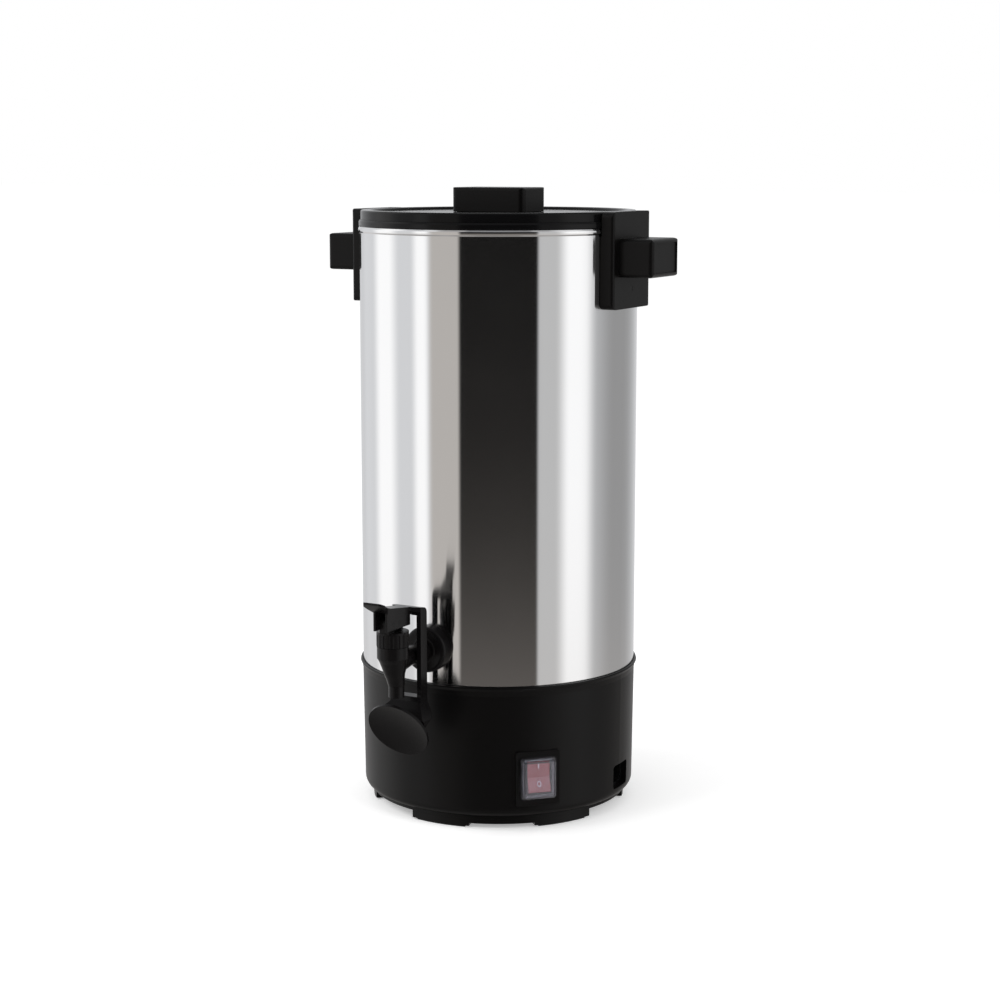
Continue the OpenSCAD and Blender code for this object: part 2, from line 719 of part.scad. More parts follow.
// A terminal of element i: side -1 or 1 of its opening
function terminal(i, side) = spot(element_phi[i] + side * element_open / 2, 0, element_ring[i] / 2,
    i == 0 ? element_tail : warm_tail);

// Wires: inlet, switch, fuse and cutout, then the thermostat with the warming element across it,
// then the boiling element and back to the inlet
module wiring() color([0.65, 0.6, 0.5]) {
    side = [cos(fuse_phi), sin(fuse_phi), 0];
    fuse = [for (x = [-1, 1]) spot(fuse_phi, x * (fuse_lead + fit), fuse_r, plate_z - fuse_d / 2 - 1)];
    live = spot(inlet_phi, pin_places[0][0], inlet_tail, inlet_z + pin_places[0][1]);
    neutral = spot(inlet_phi, pin_places[2][0], inlet_tail, inlet_z + pin_places[2][1]);
    feed = spot(switch_phi, blade_in, switch_tail, switch_z + blade_in);
    load = spot(switch_phi, -blade_in, switch_tail, switch_z - blade_in);
    beside = wire_d / 2 + fit;
    routes = [
        [live, inwards(live, 0), -inwards(feed, 0), feed],
        [load, inwards(load, -4), -22 * side, fuse[1]],
        [fuse[0], -30 * side, [0, 4, 30], blade(thermostat_x, -1)],
        [blade(thermostat_x, 1), [0, 4, -16], [0, 0, 16], blade(beside - thermostat_x, 1)],
        [blade(-beside - thermostat_x, 1), [0, 4, -24], [0, 0, 24], terminal(1, -1)],
        [blade(-beside - thermostat_x, -1), [0, -4, -24], [0, 0, 24], terminal(1, 1)],
        [blade(beside - thermostat_x, -1), [0, -4, -27], [0, 0, 22], terminal(0, -1)],
        [neutral, inwards(neutral, -4), [0, 0, 25], terminal(0, 1)]];
    for (w = routes) swept_bar(curve(w[0], w[1], w[2], w[3]), wire_d / 2);
}

/* ---- inlet and switch ---- */

// Outline of the socket's mouth: a rectangle with two corners cut off
module mouth_outline() {
    w = inlet_mouth[0] / 2;
    h = inlet_mouth[1] / 2;
    cut = 5;
    polygon([[-w, h], [w, h], [w, -h + cut], [w - cut, -h], [-w + cut, -h], [-w, -h + cut]]);
}

module inlet_socket() color(gloss_black) toward(inlet_phi) translate([0, 0, inlet_z]) {
    difference() {
        union() {
            outward(inlet_r - inlet_l, inlet_r + eps) square(inlet_body, center = true);
            outward(inlet_r - panel_t - bezel_t, inlet_r - panel_t) rounded_rect(inlet_lug, 2);
        }
        outward(inlet_r - inlet_l + 4, inlet_r + 3) mouth_outline();
        for (p = pin_places) translate([p[0], 0, p[1]]) outward(inlet_r - inlet_l - 1, inlet_r)
            square([2.2, 4.2], center = true);
    }
}

module inlet_pins() color(brass) toward(inlet_phi) translate([0, 0, inlet_z])
    for (p = pin_places) translate([p[0], 0, p[1]])
        outward(inlet_r - inlet_l - tail, inlet_r - 4) square([2, 4], center = true);

module switch_housing() color(gloss_black) toward(switch_phi) translate([0, 0, switch_z]) difference() {
    union() {
        outward(flat_r - switch_l, flat_r + eps) square(switch_body, center = true);
        outward(flat_r, flat_r + bezel_t) rounded_rect(switch_bezel, 1.5);
        for (x = [-blade_in, blade_in]) for (z = [-blade_in, blade_in]) translate([x, 0, z])
            outward(flat_r - switch_l - tail, flat_r - switch_l + 1) square([0.8, 4.8], center = true);
    }
    outward(flat_r - switch_l + 6, flat_r + 3) square(rocker_size + [2 * fit, 2 * fit], center = true);
    translate([0, -flat_r + axle_depth, 0]) rotate([0, 90, 0]) cylinder(d = axle_d + 2 * run_fit, h = axle_l + 0.4, center = true);
}

// The rocker's side outline: two finger faces that meet in a shallow valley
module rocker_side() {
    h = rocker_size[1] / 2;
    a = rocker_swing / 2;
    tip = axle_depth + h * tan(a) * 0.9;
    polygon([[axle_depth + 1.2, 0], [tip + 1.2, h - 1.6], [tip, h - 0.9], [0, h - 2.4], [-5, h * 0.45],
        [-5, -h * 0.45], [0, -h + 2.4], [tip, -h + 0.8], [tip + 1.2, -h + 1.6]]);
}

// At rest the rocker's upper end is pressed in and its lower end stands out
module switch_rocker() color(red_lens) toward(switch_phi) translate([0, -flat_r + axle_depth, switch_z])
    rotate([-rocker_swing / 2, 0, 0]) {
        across(rocker_size[0]) rocker_side();
        rotate([0, 90, 0]) cylinder(d = axle_d, h = axle_l, center = true);
    }

// A clear boot over the switch: a flat frame and a raised window
module switch_cover() color(clear_vinyl) toward(switch_phi) translate([0, 0, switch_z]) difference() {
    union() {
        outward(flat_r, flat_r + 2.6) rounded_rect(switch_cover_size, 2);
        outward(flat_r + 2, flat_r + dome_out) rounded_rect(switch_cover_size - [3.4, 3.4], 2);
    }
    outward(flat_r - 1, flat_r + bezel_t + 0.2) rounded_rect(switch_bezel + [0.6, 0.6], 1.5);
    outward(flat_r + bezel_t, flat_r + dome_out - vinyl_t) square(switch_cover_size - [6, 6], center = true);
}

/* ---- tap ---- */

module section(s) translate([0, -s[0], s[1]]) cylinder(r = s[2], h = eps, $fn = 40);

module tap_body() color(gloss_black) difference() {
    union() {
        at_tap() for (i = [0:len(sections) - 2]) hull() { section(sections[i]); section(sections[i + 1]); }
        at_tap() translate([0, spout_back, spout_z]) cylinder(d = spout_d - 0.6, h = spout_drop - 17.5);
        at_tap() translate([0, 0, tap_z + 3.9]) cylinder(r = barrel_r, h = bonnet_top - bonnet_h - tap_z - 4.2);
        at_tap() translate([0, 0, tap_z + 4]) cylinder(r = neck_r, h = bonnet_rise - 8.4);
        translate([0, 0, tap_z]) rotate([90, 0, 0]) translate([0, 0, tap_r - 24])
            cylinder(r1 = shank_d / 2 - 0.1, r2 = shank_d / 2 + 2.4, h = 18);
        translate([0, 0, tap_z]) outward(tank_r + flange_size[1] + 1.5, tap_r) circle(d = shank_d);
        translate([0, 0, tap_z]) outward(tank_r - shank_inside, tap_r - barrel_r) circle(d = shank_d - 1);
    }
    at_tap() translate([0, 0, seat_z]) cylinder(r = chamber_r, h = 60);
    at_tap() translate([0, 0, seat_z - 10.5]) cylinder(r = seat_bore, h = 12);
    at_tap() translate([0, spout_back, spout_z - 1]) cylinder(r = spout_bore, h = spout_drop - 8);
    translate([0, 0, tap_z + bore_rise]) outward(tank_r - shank_inside - 1, tap_r - chamber_r + 2)
        circle(r = shank_bore);
}

// The round flange nut on the outside of the tank's wall, its back shaped to the wall
module tap_flange() color(gloss_black) difference() {
    translate([0, -tank_r, tap_z]) rotate([90, 0, 0]) rotate_extrude() polygon(concat(
        [[0, -4], [flange_size[0] / 2, -4]], arc([flange_size[0] / 2 - 3, flange_size[1] - 3], 3, 0, 90),
        [[shank_d / 2 + 3, flange_size[1]], [shank_d / 2 + 2, flange_size[1] + 1], [0, flange_size[1] + 1]]));
    translate([0, 0, tap_z - 40]) cylinder(r = tank_r + fit, h = 80);
    translate([0, 0, tap_z]) outward(tank_r - 10, tank_r + 30) circle(d = shank_d - 1 + 2 * fit);
    translate([0, 0, tap_z]) outward(tank_r - 10, tank_r + gasket_t + 0.6) circle(d = gasket_d[0] + 0.6);
}

module tap_nut() color(black_plastic) translate([0, -nut_y, tap_z]) rotate([-90, 0, 0]) {
    hex_nut(24, nut_t, shank_d - 1 + 0.2);
}

// The silicone washers outside and inside the tank's wall, shaped to it
module tap_gaskets() color(silicone) translate([0, 0, tap_z]) {
    difference() {
        outward(tank_r - 4, tank_r + gasket_t + 0.4) circle(d = gasket_d[0]);
        outward(tank_r - 10, tank_r + 10) circle(d = shank_d - 1 + 0.2);
        translate([0, 0, -40]) cylinder(r = tank_r + 0.1, h = 80);
    }
    difference() {
        intersection() {
            outward(nut_y, tank_r) circle(d = gasket_d[1]);
            translate([0, 0, -40]) cylinder(r = tank_in - 0.1, h = 80);
        }
        outward(tank_r - 20, tank_r + 10) circle(d = shank_d - 1 + 0.2);
    }
}

// The bonnet: a fluted screw cap whose lug carries the lever's pivot pin
module tap_bonnet() color(gloss_black) at_tap() difference() {
    union() {
        translate([0, 0, bonnet_top - bonnet_h]) cylinder(r = barrel_r + bonnet_out, h = bonnet_h);
        across(lug_w) polygon(concat([[pivot_out - 4, bonnet_top - 1]],
            [for (p = arc([pivot_out, pivot_z], 4, 180, 0, 10)) p], [[pivot_out + 4, bonnet_top - 1]]));
    }
    translate([0, 0, bonnet_top - bonnet_h - 1]) cylinder(r = neck_r + 0.1, h = bonnet_h - 3);
    translate([0, 0, bonnet_top - 6]) cylinder(r = stem_d / 2 + run_fit, h = 12);
    cross_bar(pivot_out, pivot_z, pin_d + 2 * run_fit, 20);
    ring(flute_count) translate([0, -barrel_r - bonnet_out - 0.6, bonnet_top - bonnet_h - 1])
        cylinder(r = 1.1, h = bonnet_h - 1, $fn = 16);
}

// The stem: its slotted head is lifted by the lever's second pin
module tap_stem() color(gloss_black) at_tap() difference() {
    union() {
        translate([0, 0, stem_foot]) cylinder(d = stem_d, h = pivot_z - 4 - stem_foot + eps);
        translate([0, 0, stem_foot]) cylinder(r = cup_r - 0.5, h = 1.2);
        across(lug_w) polygon([[-head_reach, pivot_z - 4], [head_reach, pivot_z - 4],
            [head_reach, pivot_z + 3], [head_reach - 1, pivot_z + 4], [1 - head_reach, pivot_z + 4],
            [-head_reach, pivot_z + 3]]);
    }
    for (o = [0, pin_shift]) cross_bar(o, pivot_z, pin_d + 0.3, 20);
    across(20) translate([pin_shift / 2, pivot_z]) square([pin_shift, pin_d + 0.3], center = true);
}

module seat_cup() color(silicone) at_tap() translate([0, 0, seat_z]) rotate_extrude()
    polygon([[0, 0], [cup_r, 0], [cup_r, 1.6], [cup_r - 1.2, cup_t], [0, cup_t]]);

// The closing spring round the stem
module tap_spring() color(bright_metal) at_tap() swept_bar([for (i = [0:spring_turns * 12])
    let (a = i * 30) [spring_r * cos(a), spring_r * sin(a), spring_z + spring_h * i / (spring_turns * 12)]],
    spring_wire / 2, 6);

// Height of the lever's top at a distance outwards from the stem's axis
function top_at(o) = lever_top + (o + arm_back + arm_w / 2) * tan(lever_slope);

// Side outline of the thumb tab, curving up and out from the hood's roof
module tab_side() {
    root = hood_front - 8;
    run = tab_reach - root;
    line = [for (i = [0:8]) let (t = i / 8) [root + run * t, top_at(root) + tab_rise * (0.3 * t + 0.7 * pow(t, 1.6))]];
    polygon(concat(line, [for (i = [8:-1:0]) line[i] - [0, 1.8 + 5.5 * (1 - i / 8)]]));
}

// Plan outline of the tab, widening from the hood to its rounded tip
module tab_plan() {
    w = tab_w / 2;
    polygon(concat([[hood_front - 8, -hood_w / 2], [hood_front - 1, -hood_w / 2]],
        arc([tab_reach - 4, -w + 4], 4, -90, 0), arc([tab_reach - 4, w - 4], 4, 0, 90),
        [[hood_front - 1, hood_w / 2], [hood_front - 8, hood_w / 2]]));
}

// Side outline of the roof with the rounded corner above the arms
module roof_side() {
    b = arm_back + arm_w / 2;
    polygon(concat([[-b, lever_top - roof_t - 3]], arc([-b + 5, lever_top - 4.4], 5, 180, 98),
        [[-8, top_at(-8)], [-8, top_at(-8) - roof_t], [-b + arm_w, top_at(-b + arm_w) - roof_t - 1.5], [-b + arm_w, lever_top - roof_t - 3]]));
}

// Side outline of an arm: down from the roof, bending outwards below the shank into the paddle
module arm_side() {
    a = arm_back - arm_w / 2;
    b = arm_back + arm_w / 2;
    into = [[-0.8, 9], [-0.8, 3]];
    polygon(concat([[-a, lever_top - roof_t - 2], [-a, neck_z + 3]], arc([-a + 9, neck_z + 3], 9, 180, 232, 4),
        [for (p = into) [-paddle_back + p[0] + paddle_rake * p[1], paddle_z + p[1]]],
        arc([-a + 9, neck_z + 3], 9 + arm_w, 232, 180, 4), [[-b, lever_top - roof_t - 2]]));
}

// Plan outline of the roof from the hood back to the two arms
module roof_plan() polygon([[-hood_back + 8, -hood_w / 2], [-hood_back + 8, hood_w / 2], [-hood_back, hood_w / 2],
    [-arm_back + arm_w / 2, arm_out / 2], [-arm_back - arm_w / 2, arm_out / 2],
    [-arm_back - arm_w / 2, -arm_out / 2], [-arm_back + arm_w / 2, -arm_out / 2], [-hood_back, -hood_w / 2]]);

// Front outline of the neck that joins the arms and flares out to the paddle's sides
module neck_front() {
    w = [arm_out / 2, arm_out / 2 + 1, paddle_d / 2 - 2.4];
    h = [neck_z + 1, neck_z - 4, paddle_z + 8.5];
    polygon([[-w[2], paddle_z], [w[2], paddle_z], [w[2], h[2]], [w[1], h[1]], [w[0], h[0]], [-w[0], h[0]],
        [-w[1], h[1]], [-w[2], h[2]]]);
}

// Extrudes a plan outline of (outward, across) up from z0 to z1
module plan(z0, z1) translate([0, 0, z0]) linear_extrude(z1 - z0) rotate(-90) children();

// The round paddle, dished like a shallow saucer
module paddle() translate([0, paddle_back, paddle_z]) rotate([180 - paddle_slope, 0, 0])
    rotate_extrude() polygon(concat(
        [for (i = [0:8]) let (r = paddle_d / 2 * i / 8) [r, r * r / (2 * paddle_dish)]],
        [for (i = [8:-1:0]) let (r = paddle_d / 2 * i / 8) [r, r * r / (2 * paddle_dish) - paddle_t]]));

module tap_lever() color(gloss_black) at_tap() difference() {
    union() {
        across(hood_w) polygon([[-hood_back, hood_z], [hood_front, hood_z], [hood_front, top_at(hood_front)],
            [-hood_back, top_at(-hood_back)]]);
        intersection() {
            across(tab_w + 2) tab_side();
            plan(lever_top - 8, lever_top + 30) tab_plan();
        }
        intersection() {
            across(arm_out) roof_side();
            plan(lever_top - 8, lever_top + 20) roof_plan();
        }
        for (s = [-1, 1]) translate([s * arm_pitch / 2, 0, 0]) across(arm_t) arm_side();
        intersection() {
            across(paddle_d) arm_side();
            outward(-60, 60) neck_front();
        }
        paddle();
    }
    across(hood_slot) polygon([[-hood_back - 6, hood_z - 1], [hood_front, hood_z - 1],
        [hood_front, top_at(hood_front) - roof_t], [-hood_back - 6, top_at(-hood_back - 6) - roof_t]]);
    cross_bar(pivot_out, pivot_z, pin_d + 2 * run_fit, 20);
    cross_bar(0, pivot_z, pin_d + 2 * run_fit, 20);
}

module pivot_pin() color(gloss_black) at_tap() cross_bar(pivot_out, pivot_z, pin_d, hood_w);
module lift_pin() color(gloss_black) at_tap() cross_bar(0, pivot_z, pin_d, hood_w);

/* ---- pump and basket ---- */

module pump_tube() color(steel) difference() {
    translate([0, 0, pump_z + pump_foot_h * 0.5]) cylinder(r = tube_r, h = tube_top - pump_z - pump_foot_h * 0.5);
    translate([0, 0, pump_z]) cylinder(r = tube_r - tube_wall, h = tank_h + 100);
}

// The flared foot that gathers steam under the tube, with water notches round its rim
module pump_foot() color(steel) difference() {
    rotate_extrude() polygon([[pump_foot_d / 2, pump_z], [pump_foot_d / 2, pump_z + 3], [tube_r + 6, pump_z + pump_foot_h * 0.7],
        [tube_r + 1, pump_z + pump_foot_h * 0.8], [tube_r + 1, pump_z + pump_foot_h + 4], [tube_r, pump_z + pump_foot_h + 4],
        [tube_r, pump_z + pump_foot_h * 0.7 - 1], [pump_foot_d / 2 - foot_t, pump_z + 2.2], [pump_foot_d / 2 - foot_t, pump_z]]);
    ring(6) translate([-2.5, -pump_foot_d / 2 - 1, pump_z - 1]) cube([5, 4, 2.8]);
}

module tube_stop() color(steel) difference() {
    translate([0, 0, basket_z - 3]) cylinder(r = tube_r + 4, h = 3);
    translate([0, 0, basket_z - 4]) cylinder(r = tube_r, h = 5);
}

// The basket's wall: a rolled rim above and a turned-in flange that carries the floor
module basket() color(steel) rotate_extrude() polygon([
    [basket_r - 6, basket_z], [basket_r, basket_z], [basket_r, basket_top - 3], [basket_r + 1.6, basket_top - 2.6],
    [basket_r + 2, basket_top - 1.2], [basket_r + 1.6, basket_top], [basket_r - basket_wall, basket_top],
    [basket_r - basket_wall, basket_z + basket_wall], [basket_r - 6, basket_z + basket_wall]]);

// Rings of holes between radius a and radius b
module hole_rings(a, b, z) for (i = [0:floor((b - a) / hole_pitch)]) let (r = a + i * hole_pitch,
    n = floor(2 * PI * r / hole_pitch)) for (k = [0:n - 1]) rotate([0, 0, (k + i / 2) * 360 / n])
        translate([r, 0, z]) cylinder(d = hole_d, h = 4, center = true, $fn = 16);

// The perforated floor with the sleeve that slides on the pump tube
module basket_floor() color(steel) difference() {
    union() {
        translate([0, 0, basket_z + basket_wall]) cylinder(r = basket_r - basket_wall - 0.1, h = basket_wall);
        translate([0, 0, basket_z]) cylinder(r = sleeve_in + sleeve_t, h = sleeve_h);
    }
    translate([0, 0, basket_z - 1]) cylinder(r = sleeve_in, h = sleeve_h + 2);
    hole_rings(sleeve_in + 8, basket_r - 9, basket_z + basket_wall * 1.5);
}

// The spreader over the coffee: a shallow perforated dish that stands on the basket's rim
module basket_cover() color(steel) difference() {
    rotate_extrude() polygon([
        [sleeve_in, basket_top - 1.5], [basket_r - basket_wall - 1.2, basket_top - 1.5], [basket_r - basket_wall - 1.2, basket_top],
        [basket_r + 2, basket_top], [basket_r + 2, basket_top + spread_h], [basket_r + 1.2, basket_top + spread_h],
        [basket_r + 1.2, basket_top + 0.8], [basket_r - basket_wall - 2, basket_top + 0.8],
        [basket_r - basket_wall - 2, basket_top - 0.7], [sleeve_in + 1, basket_top - 0.7],
        [sleeve_in + 1, basket_top + 2], [sleeve_in, basket_top + 2]]);
    hole_rings(sleeve_in + 8, basket_r - 12, basket_top - 1);
}

/* ---- lid ---- */

module lid() color(gloss_black) difference() {
    rotate_extrude() polygon(concat(
        [[0, mid_top + 1], [lid_r - 40, mid_top + 0.6], [lid_r - 10, mid_top], [lid_r - 8.5, lid_top - 0.6], [lid_r - 7, lid_top]],
        arc([lid_r - 2, lid_top - 2], 2, 90, 0),
        [[lid_r, collar_top], [skirt_r, collar_top], [skirt_r, collar_top - skirt_h], [skirt_r - lid_wall, collar_top - skirt_h],
            [skirt_r - lid_wall, mid_under - 1], [skirt_r - lid_wall - 1, mid_under], [10, mid_under + 0.4], [0, mid_under + 0.4]]));
    translate([0, 0, mid_under - 1]) cylinder(d = screw_d + 0.6, h = lid_wall + 3);
    for (a = [-14, 0, 14]) rotate([0, 0, a]) translate([0, 62, mid_under - 2]) cylinder(d = vent_d, h = lid_wall + 6);
}

// The knob: a rounded block, hollow from below, with a boss for its screw
module lid_knob() color(black_plastic) difference() {
    intersection() {
        translate([0, 0, (knob_top + knob_z - 8) / 2])
            rounded_block([knob_size[0], knob_size[1], knob_top - knob_z + 8], knob_round);
        translate([0, 0, knob_z - 8]) linear_extrude(knob_top - knob_z + 16)
            rounded_rect([knob_size[0], knob_size[1]], knob_corner);
    }
    translate([0, 0, knob_z - 20]) cube([200, 200, 40], center = true);
    difference() {
        translate([0, 0, knob_z - 1]) linear_extrude(knob_top - knob_z - knob_wall + 1)
            square([knob_size[0] - 2 * knob_wall, knob_size[1] - 2 * knob_wall], center = true);
        translate([0, 0, knob_z - 2]) cylinder(d = 12, h = 40);
        for (x = [-1, 1]) translate([x * knob_size[0] / 4 - 1, -knob_size[1] / 2, knob_z - 2]) cube([2, knob_size[1], 40]);
    }
    translate([0, 0, knob_z - 1]) cylinder(d = screw_d - 0.25, h = 13);
}

module knob_screw() color(bright_metal) translate([0, 0, mid_under + 0.4]) rotate([180, 0, 0])
    pan_screw(screw_d - 0.4, lid_wall + 11, 10, 3);

tank();
tank_studs();
stud_nuts();
base_housing();
bottom_cover();
foot_pads();
bottom_screws();
collar_ring();
handle_right();
handle_left();
handle_screws();
handle_washers();
heater_plate();
boil_element();
warm_element();
thermostat();
boil_dry_cutout();
thermostat_bracket();
thermal_fuse();
wiring();
inlet_socket();
inlet_pins();
switch_housing();
switch_rocker();
switch_cover();
tap_body();
tap_flange();
tap_nut();
tap_gaskets();
tap_bonnet();
tap_stem();
seat_cup();
tap_spring();
tap_lever();
pivot_pin();
lift_pin();
pump_tube();
pump_foot();
tube_stop();
basket();
basket_floor();
basket_cover();
lid();
lid_knob();
knob_screw();
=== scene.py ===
import json
import math

import bmesh
import bpy
from bpy.props import (
    FloatProperty,
    FloatVectorProperty,
    IntProperty,
    PointerProperty,
)
from mathutils import Matrix, Vector

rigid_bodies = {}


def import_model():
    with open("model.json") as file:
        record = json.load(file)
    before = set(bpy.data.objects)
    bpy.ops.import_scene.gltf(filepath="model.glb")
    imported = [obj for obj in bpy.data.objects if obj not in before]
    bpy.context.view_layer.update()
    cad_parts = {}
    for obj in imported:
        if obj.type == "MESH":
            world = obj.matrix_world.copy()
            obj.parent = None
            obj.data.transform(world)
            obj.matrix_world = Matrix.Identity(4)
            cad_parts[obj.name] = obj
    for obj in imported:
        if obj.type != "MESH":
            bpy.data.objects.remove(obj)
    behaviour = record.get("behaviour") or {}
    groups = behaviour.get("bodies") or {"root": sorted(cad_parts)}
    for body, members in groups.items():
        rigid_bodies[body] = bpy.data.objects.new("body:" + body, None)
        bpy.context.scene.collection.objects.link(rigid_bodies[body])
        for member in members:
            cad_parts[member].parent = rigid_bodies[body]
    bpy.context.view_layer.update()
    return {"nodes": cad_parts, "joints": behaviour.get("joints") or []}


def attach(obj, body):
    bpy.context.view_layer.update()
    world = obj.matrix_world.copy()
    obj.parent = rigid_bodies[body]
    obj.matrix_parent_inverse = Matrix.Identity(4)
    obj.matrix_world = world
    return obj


# Blender's own first objects go before the frame comes in
for spare in list(bpy.data.objects):
    bpy.data.objects.remove(spare, do_unlink=True)
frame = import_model()
NODES = frame["nodes"]
JOINTS = {joint["name"]: joint for joint in frame["joints"]}

bl_info = {
    "name": "Coffee urn",
    "version": (1, 0, 0),
    "blender": (4, 5, 0),
    "location": "View3D > Sidebar > Urn",
    "description": "Finishes, small pieces and a studio for a coffee urn",
    "category": "Object",
}

# ---------------------------------------------------------------- settings


class UrnStageSettings(bpy.types.PropertyGroup):
    """The camera's place and the studio's light"""

    azimuth: FloatProperty(
        name="Azimuth",
        description="Camera's turn from the tap towards the switch",
        default=math.radians(28.5),
        subtype="ANGLE",
    )
    pitch: FloatProperty(
        name="Pitch",
        description="Camera's tilt below the horizon",
        default=math.radians(9.16),
        subtype="ANGLE",
    )
    distance: FloatProperty(
        name="Distance",
        description="Camera's distance from the tank's axis",
        default=1.857,
        unit="LENGTH",
    )
    height: FloatProperty(
        name="Height",
        description="Camera's height above the table",
        default=0.5639,
        unit="LENGTH",
    )
    lens: FloatProperty(
        name="Focal length",
        description="Focal length in millimetres on a 36 mm sensor",
        default=76.93,
    )
    shift: FloatProperty(
        name="Shift",
        description="Sideways shift as a share of the frame",
        default=0.00144,
    )
    floor: FloatVectorProperty(
        name="Floor",
        description="Colour of the floor",
        default=(0.9, 0.9, 0.9),
        subtype="COLOR",
    )
    ambient: FloatProperty(
        name="Ambient",
        description="Strength of the soft light from all round",
        default=0.75,
    )
    key_power: FloatProperty(
        name="Key light",
        description="Power of the large lamp above at the left",
        default=26.0,
        unit="POWER",
    )
    fill_power: FloatProperty(
        name="Fill light",
        description="Power of the lamp at the right",
        default=10.0,
        unit="POWER",
    )


class UrnSteelSettings(bpy.types.PropertyGroup):
    """The polished tank and the satin steel parts inside it"""

    colour: FloatVectorProperty(
        name="Steel",
        description="Reflectance of the stainless steel",
        default=(0.80, 0.80, 0.805),
        subtype="COLOR",
    )
    polish: FloatProperty(
        name="Polish",
        description="Roughness of the polished tank before its polishing lines draw it out",
        default=0.105,
        min=0.0,
        max=1.0,
        subtype="FACTOR",
    )
    lines: FloatProperty(
        name="Polishing lines",
        description="How far the lines round the drum draw its reflections out up and down",
        default=1.0,
        min=0.0,
        max=1.0,
        subtype="FACTOR",
    )
    satin: FloatProperty(
        name="Satin",
        description="Roughness of the pump, the basket and the cover over it",
        default=0.28,
        min=0.0,
        max=1.0,
        subtype="FACTOR",
    )
    ripple: FloatProperty(
        name="Ripple",
        description="Height of the slow waves that drawing leaves in the sheet",
        default=0.00002,
        unit="LENGTH",
        precision=6,
    )


class UrnPlasticSettings(bpy.types.PropertyGroup):
    """The moulded black parts"""

    satin_black: FloatVectorProperty(
        name="Satin black",
        description="Colour of the base, the handles, the tap's nut and the knob",
        default=(0.0034, 0.0031, 0.0031),
        subtype="COLOR",
    )
    satin_roughness: FloatProperty(
        name="Satin roughness",
        description="Roughness of the parts in satin black",
        default=0.34,
        min=0.0,
        max=1.0,
        subtype="FACTOR",
    )
    gloss_black: FloatVectorProperty(
        name="Gloss black",
        description="Colour of the lid, its ring, the inlet and the switch housing",
        default=(0.0035, 0.0034, 0.0036),
        subtype="COLOR",
    )
    gloss_roughness: FloatProperty(
        name="Gloss roughness",
        description="Roughness of the parts in gloss black",
        default=0.14,
        min=0.0,
        max=1.0,
        subtype="FACTOR",
    )
    tap_black: FloatVectorProperty(
        name="Tap black",
        description="Colour of the tap and its lever",
        default=(0.0045, 0.0040, 0.0042),
        subtype="COLOR",
    )
    tap_roughness: FloatProperty(
        name="Tap roughness",
        description="Roughness of the tap and its lever",
        default=0.26,
        min=0.0,
        max=1.0,
        subtype="FACTOR",
    )
    sheen: FloatProperty(
        name="Surface reflection",
        description="Specular level of the black plastics",
        default=0.15,
        min=0.0,
        max=1.0,
        subtype="FACTOR",
    )
    edge: FloatProperty(
        name="Edge",
        description="Radius that moulding leaves on outer edges",
        default=0.0004,
        unit="LENGTH",
        precision=5,
    )


class UrnSwitchSettings(bpy.types.PropertyGroup):
    """The rocker and the marks on it"""

    red: FloatVectorProperty(
        name="Rocker red",
        description="Colour of the rocker",
        default=(0.28, 0.040, 0.038),
        subtype="COLOR",
    )
    bar_height: FloatProperty(
        name="Bar height",
        description="Height of the bar on the rocker's upper end",
        default=0.0042,
        unit="LENGTH",
        precision=4,
    )
    ring_height: FloatProperty(
        name="Ring height",
        description="Height of the ring on the rocker's lower end",
        default=0.0056,
        unit="LENGTH",
        precision=4,
    )
    stroke: FloatProperty(
        name="Stroke",
        description="Width of the stroke that the marks are drawn with",
        default=0.0009,
        unit="LENGTH",
        precision=4,
    )
    mark_colour: FloatVectorProperty(
        name="Mark colour",
        description="Colour of the marks' paint",
        default=(0.50, 0.37, 0.38),
        subtype="COLOR",
    )
    ring_segments: IntProperty(
        name="Ring segments",
        description="Segments in the ring mark",
        default=40,
        min=12,
    )


# ---------------------------------------------------------------- sizes and places, in metres

UP = Vector((0.0, 0.0, 1.0))

# The rocker at rest: where the valley between its two finger faces lies from the axle, and how far its
# lower face leans back from upright
VALLEY_OUT = 0.00561
VALLEY_UP = 0.00099
LOWER_FACE_LEAN = math.radians(20.2)

# The marks: how far their middles lie from the valley, how thick they are, and half of the ring's width
# as a share of its height
BAR_FROM_VALLEY = 0.0096
RING_FROM_VALLEY = 0.0058
MARK_DEPTH = 0.0002
RING_HALF_WIDTH = 0.34
# A slanting direction, along which no two faces of the ring lie level
FACE_ORDER = Vector((1.0, 1.7, 3.1))

# The handles' screws: the radius of their heads, and how far their tips stay from the plate's outer face
SCREW_HEAD_RADIUS = 0.0038
TIP_TO_FACE = 0.003

# The caps on the handles' lower screw holes, which lie a hair below the plate's face
CAP_RADIUS = 0.00187
CAP_DEPTH = 0.0012
CAP_SINK = 0.00005
CAP_SEGMENTS = 32

# The studio: from the urn to the floor's edge, what the lamps aim at, and the camera's sensor in mm
FLOOR_REACH = 30.0
LAMP_AIM = Vector((0.0, 0.0, 0.28))
SENSOR_WIDTH = 36.0

# ---------------------------------------------------------------- strengths and scales of the effects

# Noise runs from 0 to 1 round this value
NOISE_MIDDLE = 0.5
# Scales of a moulding's fine and coarse grain, and the coarse grain's share of the height
FINE_GRAIN = 2600.0
COARSE_GRAIN = 700.0
COARSE_SHARE = 0.5
# Scale of the waves round the drawn tank, and the share of it up the wall, where they are longer
WAVE_SCALE = 26.0
WAVE_STRETCH = 0.22
# The weave of a wire's sleeve
WEAVE_SCALE = 900.0
WEAVE_WANDER = 2.0
# The polishing lines run round the drum, and draw reflections out at a quarter turn from that
QUARTER_TURN = 0.25
# Samples that round an edge
EDGE_SAMPLES = 4

# ---------------------------------------------------------------- the studio's room

# Light that only the camera and glass see on the floor, where 1 is white
FLOOR_GLOW = 0.35
